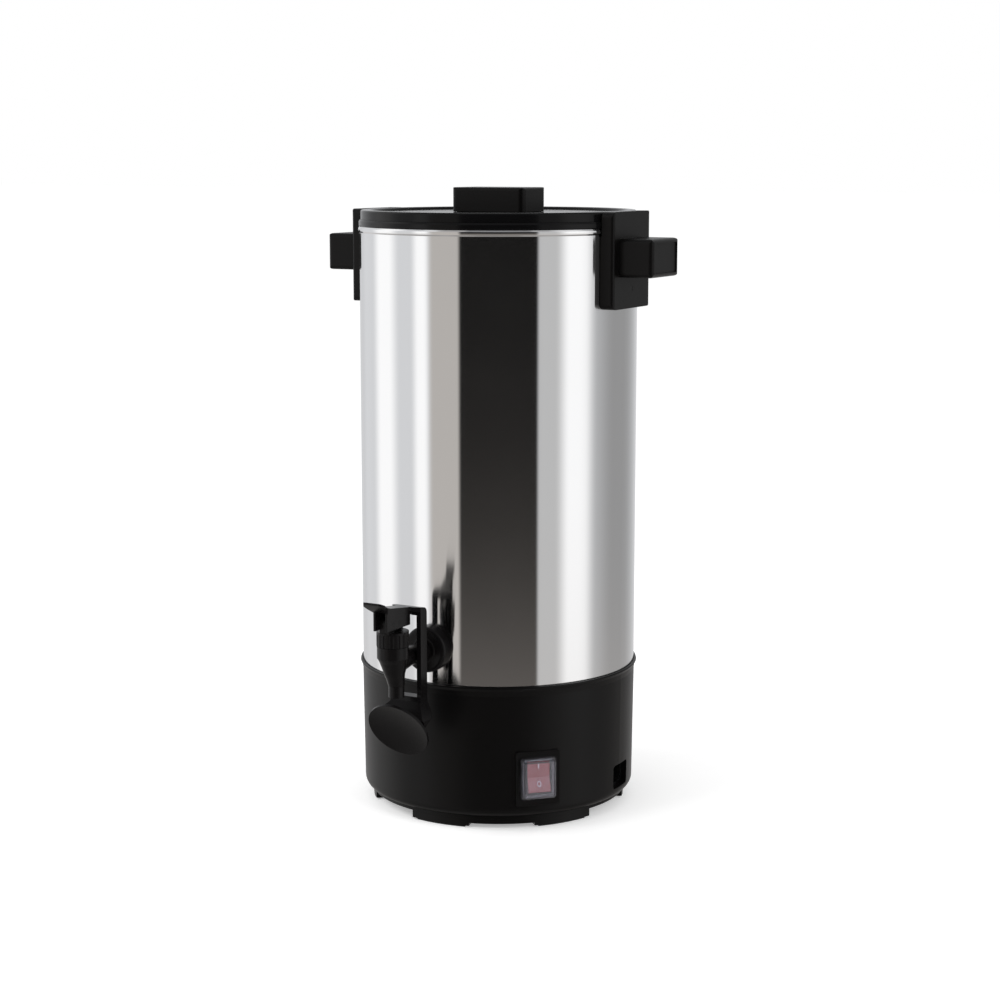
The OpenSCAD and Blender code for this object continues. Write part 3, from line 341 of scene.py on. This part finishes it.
# Tints of the walls and screens
PLAIN = (1.0, 1.0, 1.0)
WARM = (1.0, 0.95, 0.9)
COOL = (0.97, 0.98, 1.0)
# Brightness of the room between the screens
ROOM = 0.7
# The screens, each laid over the ones before it: its place, half its width and its soft edge, all three
# as shares of a turn, then its brightness and its tint. Places count from straight behind the urn, with
# the camera at 0.5.
SCREENS = [
    ("left_wall", 0.25, 0.16, 0.04, 0.8, COOL),
    ("left_key", 0.2, 0.035, 0.04, 1.2, PLAIN),
    ("left_strip", 0.315, 0.018, 0.025, 1.2, PLAIN),
    ("warm_wall", 0.38, 0.042, 0.02, 0.55, WARM),
    ("right_wall", 0.64, 0.05, 0.01, 0.6, PLAIN),
    ("right_key", 0.69, 0.04, 0.04, 1.2, PLAIN),
    ("right_far", 0.83, 0.08, 0.12, 0.35, PLAIN),
    ("dark_front", 0.5, 0.09, 0.01, 0.006, PLAIN),
]
# Laid over the screens by how steeply a reflected ray rises, from -1 straight down to 1 straight up: the
# steepness where the layer sets in, the one where it is full, its full share, whether it sets in
# smoothly, and its colour
LAYERS = [
    ("table_edge", -0.20, -0.285, 0.33, False, (0.66, 0.60, 0.55)),
    ("table", -0.33, -0.7, 0.8, True, (0.30, 0.29, 0.28)),
    ("ceiling", 0.45, 0.9, 1.0, True, (0.35, 0.35, 0.36)),
]

# ---------------------------------------------------------------- node helpers


def feed(tree, socket, value):
    """Links another node's output to the socket, or sets the socket to a number, a vector or a colour"""
    if isinstance(value, bpy.types.NodeSocket):
        tree.links.new(value, socket)
    elif socket.type == "RGBA":
        socket.default_value = (*value, 1.0)
    else:
        socket.default_value = value


def fill(tree, node, values):
    """Sets the node's properties and feeds its inputs by name, with _ for a space"""
    for key, value in values.items():
        if hasattr(node, key):
            setattr(node, key, value)
        else:
            feed(tree, node.inputs[key.replace("_", " ")], value)


def add(tree, kind, **values):
    """A new node of that kind, filled with those values"""
    node = tree.nodes.new(kind)
    fill(tree, node, values)
    return node


def calculate(tree, operation, *values, label="", clamp=False):
    """What a math node makes of numbers and of other nodes' outputs"""
    node = add(tree, "ShaderNodeMath", operation=operation, label=label, use_clamp=clamp)
    for socket, value in zip(node.inputs, values):
        feed(tree, socket, value)
    return node.outputs["Value"]


def map_range(tree, value, start, end, full=1.0, smooth=False, label=""):
    """How far the value has come from start to end: 0 up to start, and full from end on"""
    course = "SMOOTHSTEP" if smooth else "LINEAR"
    node = add(tree, "ShaderNodeMapRange", label=label, interpolation_type=course, Value=value)
    fill(tree, node, {"From_Min": start, "From_Max": end, "To_Max": full})
    return node.outputs["Result"]


def noise(tree, vector, scale, detail, roughness=0.5, distortion=0.0):
    node = add(tree, "ShaderNodeTexNoise", Vector=vector, Scale=scale, Detail=detail)
    fill(tree, node, {"Roughness": roughness, "Distortion": distortion})
    return node.outputs["Fac"]


def mixed(tree, share, first, second):
    """The first colour, with that share of the second in its place"""
    node = add(tree, "ShaderNodeMix", data_type="RGBA", Factor=share, A=first, B=second)
    return node.outputs["Result"]


def mixed_shader(tree, share, first, second):
    """The first shader node's light, with that share of the second's in its place"""
    node = add(tree, "ShaderNodeMixShader", Fac=share)
    feed(tree, node.inputs[1], first.outputs[0])
    feed(tree, node.inputs[2], second.outputs[0])
    return node


def seen_directly(tree, rays):
    """1 where the camera looks straight at something or sees it through glass, otherwise 0"""
    return calculate(tree, "MAXIMUM", rays["Is Camera Ray"], rays["Is Transmission Ray"])


# ---------------------------------------------------------------- shared effects


def new_group(name, takes, gives):
    """An empty shader group, with what it takes and gives inside; both are dicts of names and kinds"""
    group = bpy.data.node_groups.new(name, "ShaderNodeTree")
    for way, sockets in (("INPUT", takes), ("OUTPUT", gives)):
        for label, kind in sockets.items():
            group.interface.new_socket(name=label, in_out=way, socket_type="NodeSocket" + kind)
    taken = group.nodes.new("NodeGroupInput").outputs
    given = group.nodes.new("NodeGroupOutput").inputs
    return group, taken, given


def handling_group():
    """Roughness that varies a little where the surface was wiped and handled"""
    takes = {"Vector": "Vector", "Roughness": "Float", "Amount": "Float", "Scale": "Float"}
    group, taken, given = new_group("handling", takes, {"Roughness": "Float"})
    smears = noise(group, taken["Vector"], taken["Scale"], detail=4.0, roughness=0.55, distortion=0.6)
    centred = calculate(group, "SUBTRACT", smears, NOISE_MIDDLE)
    swing = calculate(group, "MULTIPLY", centred, taken["Amount"])
    total = calculate(group, "ADD", swing, taken["Roughness"], clamp=True)
    feed(group, given["Roughness"], total)
    return group


def mottle_group():
    """A colour that drifts a little lighter and darker over the surface"""
    takes = {"Vector": "Vector", "Colour": "Color", "Amount": "Float", "Scale": "Float"}
    group, taken, given = new_group("mottle", takes, {"Colour": "Color"})
    spots = noise(group, taken["Vector"], taken["Scale"], detail=3.0)
    centred = calculate(group, "SUBTRACT", spots, NOISE_MIDDLE)
    share = calculate(group, "MULTIPLY_ADD", centred, taken["Amount"], 1.0)
    scaled = add(group, "ShaderNodeVectorMath", operation="SCALE", Vector=taken["Colour"], Scale=share)
    feed(group, given["Colour"], scaled.outputs["Vector"])
    return group


def grain_group():
    """The fine skin of a moulding, as a height; a larger size makes it coarser"""
    takes = {"Vector": "Vector", "Size": "Float"}
    group, taken, given = new_group("moulded_grain", takes, {"Height": "Float"})
    fine_scale = calculate(group, "DIVIDE", FINE_GRAIN, taken["Size"])
    coarse_scale = calculate(group, "DIVIDE", COARSE_GRAIN, taken["Size"])
    fine = noise(group, taken["Vector"], fine_scale, detail=2.0)
    coarse = noise(group, taken["Vector"], coarse_scale, detail=2.0)
    feed(group, given["Height"], calculate(group, "MULTIPLY_ADD", coarse, COARSE_SHARE, fine))
    return group


EFFECTS = {"handling": handling_group, "mottle": mottle_group, "moulded_grain": grain_group}


def effect(tree, name, **values):
    """The output of a shared effect, whose group is built once and placed with its own values"""
    group = bpy.data.node_groups.get(name) or EFFECTS[name]()
    return add(tree, "ShaderNodeGroup", node_tree=group, **values).outputs[0]


# ---------------------------------------------------------------- reliefs: a height for a bump


def moulded_grain(tree, coords, size):
    """The skin that a mould leaves"""
    return effect(tree, "moulded_grain", Vector=coords, Size=size)


def drawn_waves(tree, coords, size):
    """Slow waves that drawing leaves in sheet steel"""
    stretched = add(tree, "ShaderNodeMapping", Vector=coords, Scale=(1.0, 1.0, WAVE_STRETCH))
    return noise(tree, stretched.outputs["Vector"], WAVE_SCALE / size, detail=1.0)


def woven(tree, coords, size):
    """The threads of a woven sleeve"""
    threads = add(tree, "ShaderNodeTexWave", bands_direction="DIAGONAL", Vector=coords)
    fill(tree, threads, {"Scale": WEAVE_SCALE / size, "Distortion": WEAVE_WANDER})
    return threads.outputs["Fac"]


# ---------------------------------------------------------------- materials


def finish_surface(
    name,
    colour,
    roughness,
    handled=0.0,
    handled_scale=1.0,
    mottled=0.0,
    mottled_scale=40.0,
    relief=moulded_grain,
    depth=0.0,
    size=1.0,
    edge=0.0,
    **values,
):
    """A material with the shared effects; the shader's other inputs are values given by name

    handled and mottled are strengths, each with the scale of its pattern. A relief is as deep as depth,
    with features of that size, and edge is the radius that outer edges are rounded to.
    """
    material = bpy.data.materials.new(name)
    material.use_nodes = True
    tree = material.node_tree
    shader = tree.nodes["Principled BSDF"]
    fill(tree, shader, {"Base_Color": colour, "Roughness": roughness, **values})
    coords = add(tree, "ShaderNodeTexCoord").outputs["Object"]
    if handled:
        varied = effect(
            tree,
            "handling",
            Vector=coords,
            Roughness=roughness,
            Amount=handled,
            Scale=handled_scale,
        )
        feed(tree, shader.inputs["Roughness"], varied)
    if mottled:
        drift = effect(
            tree,
            "mottle",
            Vector=coords,
            Colour=colour,
            Amount=mottled,
            Scale=mottled_scale,
        )
        feed(tree, shader.inputs["Base Color"], drift)
    normal = None
    if edge:
        normal = add(tree, "ShaderNodeBevel", samples=EDGE_SAMPLES, Radius=edge).outputs["Normal"]
    if depth:
        bump = add(tree, "ShaderNodeBump", Height=relief(tree, coords, size), Distance=depth)
        if normal is not None:
            feed(tree, bump.inputs["Normal"], normal)
        normal = bump.outputs["Normal"]
    if normal is not None:
        feed(tree, shader.inputs["Normal"], normal)
    return material


def dress(material, *names):
    """Puts the material on those nodes of the frame"""
    for name in names:
        for slot in NODES[name].material_slots:
            slot.material = material


# ---------------------------------------------------------------- operators


def polished_steel(settings):
    """Bright sheet steel, whose polishing lines run round the drum"""
    material = finish_surface(
        "polished_steel",
        colour=settings.colour,
        roughness=settings.polish,
        handled=0.02,
        handled_scale=9.0,
        mottled=0.03,
        mottled_scale=12.0,
        relief=drawn_waves,
        depth=settings.ripple,
        Metallic=1.0,
        Anisotropic=settings.lines,
        Anisotropic_Rotation=QUARTER_TURN,
    )
    tree = material.node_tree
    round_drum = add(tree, "ShaderNodeTangent", direction_type="RADIAL", axis="Z")
    feed(tree, tree.nodes["Principled BSDF"].inputs["Tangent"], round_drum.outputs["Tangent"])
    return material


class URN_OT_steel(bpy.types.Operator):
    """Polishes the tank, and finishes the pump, the basket, the fasteners and the spring"""

    bl_idname = "urn.steel"
    bl_label = "Steel"

    def execute(self, context):
        settings = context.scene.urn_steel
        dress(polished_steel(settings), "tank")
        satin = finish_surface(
            "inner_steel",
            colour=(0.66, 0.66, 0.665),
            roughness=settings.satin,
            handled=0.1,
            handled_scale=60.0,
            mottled=0.05,
            Metallic=1.0,
        )
        dress(satin, "pump_tube", "pump_foot", "tube_stop", "basket", "basket_floor", "basket_cover")
        zinc = finish_surface(
            "zinc_steel",
            colour=(0.62, 0.62, 0.64),
            roughness=0.32,
            handled=0.16,
            handled_scale=140.0,
            mottled=0.12,
            edge=0.0002,
            Metallic=1.0,
        )
        dress(zinc, "tank_studs", "stud_nuts", "bottom_screws", "handle_screws")
        dress(zinc, "thermostat_bracket", "knob_screw")
        spring = finish_surface(
            "spring_steel",
            colour=(0.66, 0.66, 0.68),
            roughness=0.2,
            handled=0.08,
            handled_scale=200.0,
            Metallic=1.0,
        )
        dress(spring, "tap_spring")
        return {"FINISHED"}


class URN_OT_plastics(bpy.types.Operator):
    """Gives the black mouldings their satin and gloss"""

    bl_idname = "urn.plastics"
    bl_label = "Black mouldings"

    def execute(self, context):
        settings = context.scene.urn_plastic
        satin = finish_surface(
            "black_plastic",
            colour=settings.satin_black,
            roughness=settings.satin_roughness,
            handled=0.06,
            handled_scale=18.0,
            mottled=0.1,
            depth=0.00002,
            edge=settings.edge,
            Specular_IOR_Level=settings.sheen,
        )
        dress(satin, "base_housing", "bottom_cover", "handle_right", "handle_left", "tap_nut", "lid_knob")
        gloss = finish_surface(
            "gloss_black",
            colour=settings.gloss_black,
            roughness=settings.gloss_roughness,
            handled=0.05,
            handled_scale=22.0,
            mottled=0.05,
            edge=settings.edge,
            Specular_IOR_Level=settings.sheen,
        )
        dress(gloss, "collar_ring", "lid", "inlet_socket", "switch_housing")
        tap = finish_surface(
            "tap_black",
            colour=settings.tap_black,
            roughness=settings.tap_roughness,
            handled=0.05,
            handled_scale=60.0,
            mottled=0.1,
            depth=0.00001,
            size=0.7,
            edge=settings.edge,
            Specular_IOR_Level=settings.sheen,
        )
        dress(tap, "tap_body", "tap_flange", "tap_bonnet", "tap_stem", "tap_lever")
        dress(tap, "pivot_pin", "lift_pin")
        return {"FINISHED"}


def new_piece(name, shape, material, body, place):
    """Makes a piece of the bmesh that rides on a body, with its place in its mesh"""
    bmesh.ops.transform(shape, matrix=place, verts=shape.verts[:])
    bmesh.ops.recalc_face_normals(shape, faces=shape.faces[:])
    mesh = bpy.data.meshes.new(name)
    shape.to_mesh(mesh)
    shape.free()
    mesh.materials.append(material)
    piece = bpy.data.objects.new(name, mesh)
    bpy.context.scene.collection.objects.link(piece)
    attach(piece, body)


class URN_OT_screw_caps(bpy.types.Operator):
    """Closes the lower screw hole of each handle with a small cap, level with the plate"""

    bl_idname = "urn.screw_caps"
    bl_label = "Screw caps"

    def execute(self, context):
        corners = NODES["handle_screws"].bound_box
        face = max(corner[0] for corner in corners) + TIP_TO_FACE
        height = min(corner[2] for corner in corners) + SCREW_HEAD_RADIUS
        middle = face - CAP_SINK - CAP_DEPTH / 2
        lying = Matrix.Rotation(math.pi / 2, 4, "Y")
        for name, side in (("cap_right", 1), ("cap_left", -1)):
            cap = bmesh.new()
            bmesh.ops.create_cone(
                cap,
                cap_ends=True,
                segments=CAP_SEGMENTS,
                radius1=CAP_RADIUS,
                radius2=CAP_RADIUS,
                depth=CAP_DEPTH,
            )
            place = Matrix.Translation((side * middle, 0.0, height)) @ lying
            new_piece(name, cap, bpy.data.materials["black_plastic"], "urn", place)
        return {"FINISHED"}


class URN_OT_soft_parts(bpy.types.Operator):
    """Rubber pads, silicone seals and woven wire sleeves"""

    bl_idname = "urn.soft_parts"
    bl_label = "Rubber, silicone and sleeves"

    def execute(self, context):
        rubber = finish_surface(
            "foot_rubber",
            colour=(0.02, 0.02, 0.021),
            roughness=0.75,
            handled=0.15,
            handled_scale=90.0,
            mottled=0.25,
            depth=0.00004,
            size=1.4,
        )
        dress(rubber, "foot_pads")
        silicone = finish_surface(
            "silicone",
            colour=(0.72, 0.70, 0.66),
            roughness=0.42,
            handled=0.1,
            handled_scale=80.0,
            mottled=0.06,
            Transmission_Weight=0.15,
            Subsurface_Weight=0.1,
        )
        dress(silicone, "tap_gaskets", "seat_cup", "handle_washers")
        sleeve = finish_surface(
            "wire_sleeve",
            colour=(0.62, 0.58, 0.50),
            roughness=0.8,
            mottled=0.35,
            mottled_scale=300.0,
            relief=woven,
            depth=0.0001,
            Sheen_Weight=0.3,
        )
        dress(sleeve, "wiring")
        return {"FINISHED"}


class URN_OT_heaters(bpy.types.Operator):
    """Finishes the heater plate, the elements, the terminals and the thermostats"""

    bl_idname = "urn.heaters"
    bl_label = "Heaters and terminals"

    def execute(self, context):
        cast = finish_surface(
            "aluminium",
            colour=(0.72, 0.73, 0.75),
            roughness=0.45,
            handled=0.2,
            handled_scale=120.0,
            mottled=0.1,
            depth=0.00006,
            size=2.0,
            Metallic=1.0,
        )
        dress(cast, "heater_plate")
        sheath = finish_surface(
            "element_sheath",
            colour=(0.45, 0.44, 0.43),
            roughness=0.4,
            handled=0.2,
            handled_scale=70.0,
            mottled=0.35,
            Metallic=1.0,
        )
        dress(sheath, "boil_element", "warm_element")
        brass = finish_surface(
            "brass",
            colour=(0.76, 0.62, 0.32),
            roughness=0.22,
            handled=0.1,
            handled_scale=160.0,
            mottled=0.1,
            edge=0.0001,
            Metallic=1.0,
        )
        dress(brass, "inlet_pins")
        ceramic = finish_surface(
            "thermostat_ceramic",
            colour=(0.80, 0.77, 0.70),
            roughness=0.5,
            handled=0.1,
            handled_scale=90.0,
            mottled=0.08,
            depth=0.00003,
        )
        dress(ceramic, "thermostat", "boil_dry_cutout", "thermal_fuse")
        return {"FINISHED"}


def face_of_rocker(lean):
    """Matrix of the rocker's finger face with that lean: X across, Y up the face, Z out of it"""
    axle = Vector(JOINTS["rocker_swing"]["pos_m"])
    outward = Vector((axle.x, axle.y, 0.0)).normalized()
    across = Vector((-outward.y, outward.x, 0.0))
    along = math.cos(lean) * UP - math.sin(lean) * outward
    normal = math.cos(lean) * outward + math.sin(lean) * UP
    valley = axle + VALLEY_OUT * outward + VALLEY_UP * UP
    turn = Matrix((across, along, normal)).transposed().to_4x4()
    return Matrix.Translation(valley) @ turn


def bar_mark(settings):
    """An upright bar"""
    bar = bmesh.new()
    size = Matrix.Diagonal((settings.stroke, settings.bar_height, MARK_DEPTH, 1.0))
    bmesh.ops.create_cube(bar, size=1.0, matrix=size)
    return bar


def ring_mark(settings):
    """An upright oval ring, spun from its own section"""
    half_width = settings.ring_height * RING_HALF_WIDTH
    ring = bmesh.new()
    bmesh.ops.create_grid(ring, x_segments=1, y_segments=1, size=0.5)
    bmesh.ops.delete(ring, geom=ring.faces[:], context="FACES_ONLY")
    stand = Matrix.Rotation(math.pi / 2, 4, "X")
    place = Matrix.Translation((half_width - settings.stroke / 2, 0.0, 0.0)) @ stand
    section = place @ Matrix.Diagonal((settings.stroke, MARK_DEPTH, 1.0, 1.0))
    bmesh.ops.transform(ring, matrix=section, verts=ring.verts[:])
    bmesh.ops.spin(
        ring,
        geom=ring.verts[:] + ring.edges[:],
        cent=(0.0, 0.0, 0.0),
        axis=UP,
        angle=math.tau,
        steps=settings.ring_segments,
        use_merge=True,
    )
    stretch = Matrix.Diagonal((1.0, settings.ring_height / 2 / half_width, 1.0, 1.0))
    bmesh.ops.transform(ring, matrix=stretch, verts=ring.verts[:])
    # spin makes the same faces in another order each time
    ring.faces.sort(key=lambda face: face.calc_center_median().dot(FACE_ORDER))
    return ring


class URN_OT_switch(bpy.types.Operator):
    """Colours the rocker, clears its cover and puts the bar and the ring on the rocker"""

    bl_idname = "urn.switch"
    bl_label = "Switch"

    def execute(self, context):
        settings = context.scene.urn_switch
        red = finish_surface(
            "red_rocker",
            colour=settings.red,
            roughness=0.22,
            handled=0.05,
            handled_scale=120.0,
            mottled=0.08,
            edge=0.0003,
            Coat_Weight=0.3,
        )
        dress(red, "switch_rocker")
        clear = finish_surface(
            "clear_cover",
            colour=(0.86, 0.85, 0.93),
            roughness=0.06,
            handled=0.05,
            handled_scale=150.0,
            Transmission_Weight=0.965,
            IOR=1.45,
        )
        dress(clear, "switch_cover")
        paint = finish_surface(
            "mark_paint",
            colour=settings.mark_colour,
            roughness=0.4,
            handled=0.1,
            handled_scale=300.0,
            mottled=0.1,
        )
        on_upper = face_of_rocker(0.0) @ Matrix.Translation((0.0, BAR_FROM_VALLEY, 0.0))
        new_piece("switch_bar", bar_mark(settings), paint, "rocker", on_upper)
        on_lower = face_of_rocker(LOWER_FACE_LEAN) @ Matrix.Translation((0.0, -RING_FROM_VALLEY, 0.0))
        new_piece("switch_ring", ring_mark(settings), paint, "rocker", on_lower)
        return {"FINISHED"}


# ---------------------------------------------------------------- studio


def studio_floor(settings):
    """A pale floor that looks white to the camera, keeps the urn's shadow and isn't seen in its gloss"""
    mesh = bpy.data.meshes.new("floor")
    shape = bmesh.new()
    bmesh.ops.create_grid(shape, x_segments=1, y_segments=1, size=FLOOR_REACH)
    shape.to_mesh(mesh)
    shape.free()
    floor = bpy.data.objects.new("floor", mesh)
    bpy.context.scene.collection.objects.link(floor)
    floor.visible_glossy = False
    material = finish_surface(
        "floor",
        colour=settings.floor,
        roughness=0.9,
        mottled=0.01,
        mottled_scale=3.0,
        Specular_IOR_Level=0.0,
    )
    tree = material.node_tree
    direct = seen_directly(tree, add(tree, "ShaderNodeLightPath").outputs)
    strength = calculate(tree, "MULTIPLY", direct, FLOOR_GLOW)
    glow = add(tree, "ShaderNodeEmission", Color=PLAIN, Strength=strength)
    total = add(tree, "ShaderNodeAddShader")
    for socket, shader in zip(total.inputs, (tree.nodes["Principled BSDF"], glow)):
        feed(tree, socket, shader.outputs[0])
    feed(tree, tree.nodes["Material Output"].inputs["Surface"], total.outputs[0])
    mesh.materials.append(material)


def room_colour(tree, direction, azimuth):
    """What a reflected ray meets in the room: the screens, and what is laid over them"""
    turn = (0.0, 0.0, math.pi / 2 - azimuth)
    turned = add(tree, "ShaderNodeMapping", vector_type="POINT", Vector=direction, Rotation=turn)
    sweep = add(tree, "ShaderNodeTexGradient", gradient_type="RADIAL", Vector=turned.outputs["Vector"])
    colour = tuple(ROOM * part for part in COOL)
    for name, place, half, edge, bright, tint in SCREENS:
        offset = calculate(tree, "SUBTRACT", sweep.outputs["Fac"], place, label=name)
        distance = calculate(tree, "ABSOLUTE", offset)
        share = map_range(tree, distance, half + edge / 2, half - edge / 2, smooth=True)
        colour = mixed(tree, share, colour, tuple(bright * part for part in tint))
    rise = add(tree, "ShaderNodeSeparateXYZ", Vector=direction).outputs["Z"]
    for name, start, end, full, smooth, tint in LAYERS:
        share = map_range(tree, rise, start, end, full, smooth, label=name)
        colour = mixed(tree, share, colour, tint)
    return colour


def studio_world(settings):
    """White to the camera and through glass, screens to gloss, and plain soft light to the rest"""
    world = bpy.data.worlds.new("studio")
    bpy.context.scene.world = world
    world.use_nodes = True
    tree = world.node_tree
    tree.nodes.clear()
    direction = add(tree, "ShaderNodeTexCoord").outputs["Generated"]
    rays = add(tree, "ShaderNodeLightPath").outputs
    room = room_colour(tree, direction, settings.azimuth)
    shiny = add(tree, "ShaderNodeBackground", Color=room)
    ambient = add(tree, "ShaderNodeBackground", Color=PLAIN, Strength=settings.ambient)
    white = add(tree, "ShaderNodeBackground", Color=PLAIN)
    lit = mixed_shader(tree, rays["Is Glossy Ray"], ambient, shiny)
    seen = mixed_shader(tree, seen_directly(tree, rays), lit, white)
    add(tree, "ShaderNodeOutputWorld", Surface=seen.outputs[0])


def softbox(name, size, at, power):
    """A rectangular lamp that lights the urn and isn't mirrored in it"""
    lamp = bpy.data.lights.new(name, "AREA")
    lamp.shape = "RECTANGLE"
    lamp.size, lamp.size_y = size
    lamp.energy = power
    thing = bpy.data.objects.new(name, lamp)
    bpy.context.scene.collection.objects.link(thing)
    thing.location = at
    thing.rotation_euler = (LAMP_AIM - Vector(at)).to_track_quat("-Z", "Y").to_euler()
    thing.visible_glossy = False


def studio_camera(settings):
    """The camera, at its distance from the tank's axis and turned towards it"""
    camera = bpy.data.cameras.new("camera")
    camera.sensor_width = SENSOR_WIDTH
    camera.lens = settings.lens
    camera.shift_x = settings.shift
    view = bpy.data.objects.new("camera", camera)
    bpy.context.scene.collection.objects.link(view)
    across = settings.distance * math.sin(settings.azimuth)
    back = settings.distance * math.cos(settings.azimuth)
    view.location = (across, -back, settings.height)
    view.rotation_euler = (math.pi / 2 - settings.pitch, 0.0, settings.azimuth)
    bpy.context.scene.camera = view


class URN_OT_stage(bpy.types.Operator):
    """Sets up the pale floor, the soft light and the camera"""

    bl_idname = "urn.stage"
    bl_label = "Studio"

    def execute(self, context):
        settings = context.scene.urn_stage
        context.scene.view_settings.view_transform = "Standard"
        studio_floor(settings)
        studio_world(settings)
        softbox("key", size=(1.6, 1.2), at=(-1.3, -1.5, 1.9), power=settings.key_power)
        softbox("fill", size=(1.2, 1.2), at=(2.0, -0.6, 1.3), power=settings.fill_power)
        studio_camera(settings)
        return {"FINISHED"}


class URN_PT_panel(bpy.types.Panel):
    """Lists the urn's operators"""

    bl_label = "Coffee urn"
    bl_idname = "URN_PT_panel"
    bl_space_type = "VIEW_3D"
    bl_region_type = "UI"
    bl_category = "Urn"

    def draw(self, context):
        for operator in OPERATORS:
            self.layout.operator(operator.bl_idname)


SETTINGS = {
    "urn_stage": UrnStageSettings,
    "urn_steel": UrnSteelSettings,
    "urn_plastic": UrnPlasticSettings,
    "urn_switch": UrnSwitchSettings,
}
OPERATORS = (
    URN_OT_stage,
    URN_OT_steel,
    URN_OT_plastics,
    URN_OT_screw_caps,
    URN_OT_soft_parts,
    URN_OT_heaters,
    URN_OT_switch,
)
CLASSES = (*SETTINGS.values(), *OPERATORS, URN_PT_panel)


def register():
    for cls in CLASSES:
        bpy.utils.register_class(cls)
    for name, cls in SETTINGS.items():
        setattr(bpy.types.Scene, name, PointerProperty(type=cls))


def unregister():
    for name in SETTINGS:
        delattr(bpy.types.Scene, name)
    for cls in reversed(CLASSES):
        bpy.utils.unregister_class(cls)


def main():
    register()
    for operator in OPERATORS:
        family, name = operator.bl_idname.split(".")
        getattr(getattr(bpy.ops, family), name)()


if __name__ == "__main__":
    main()
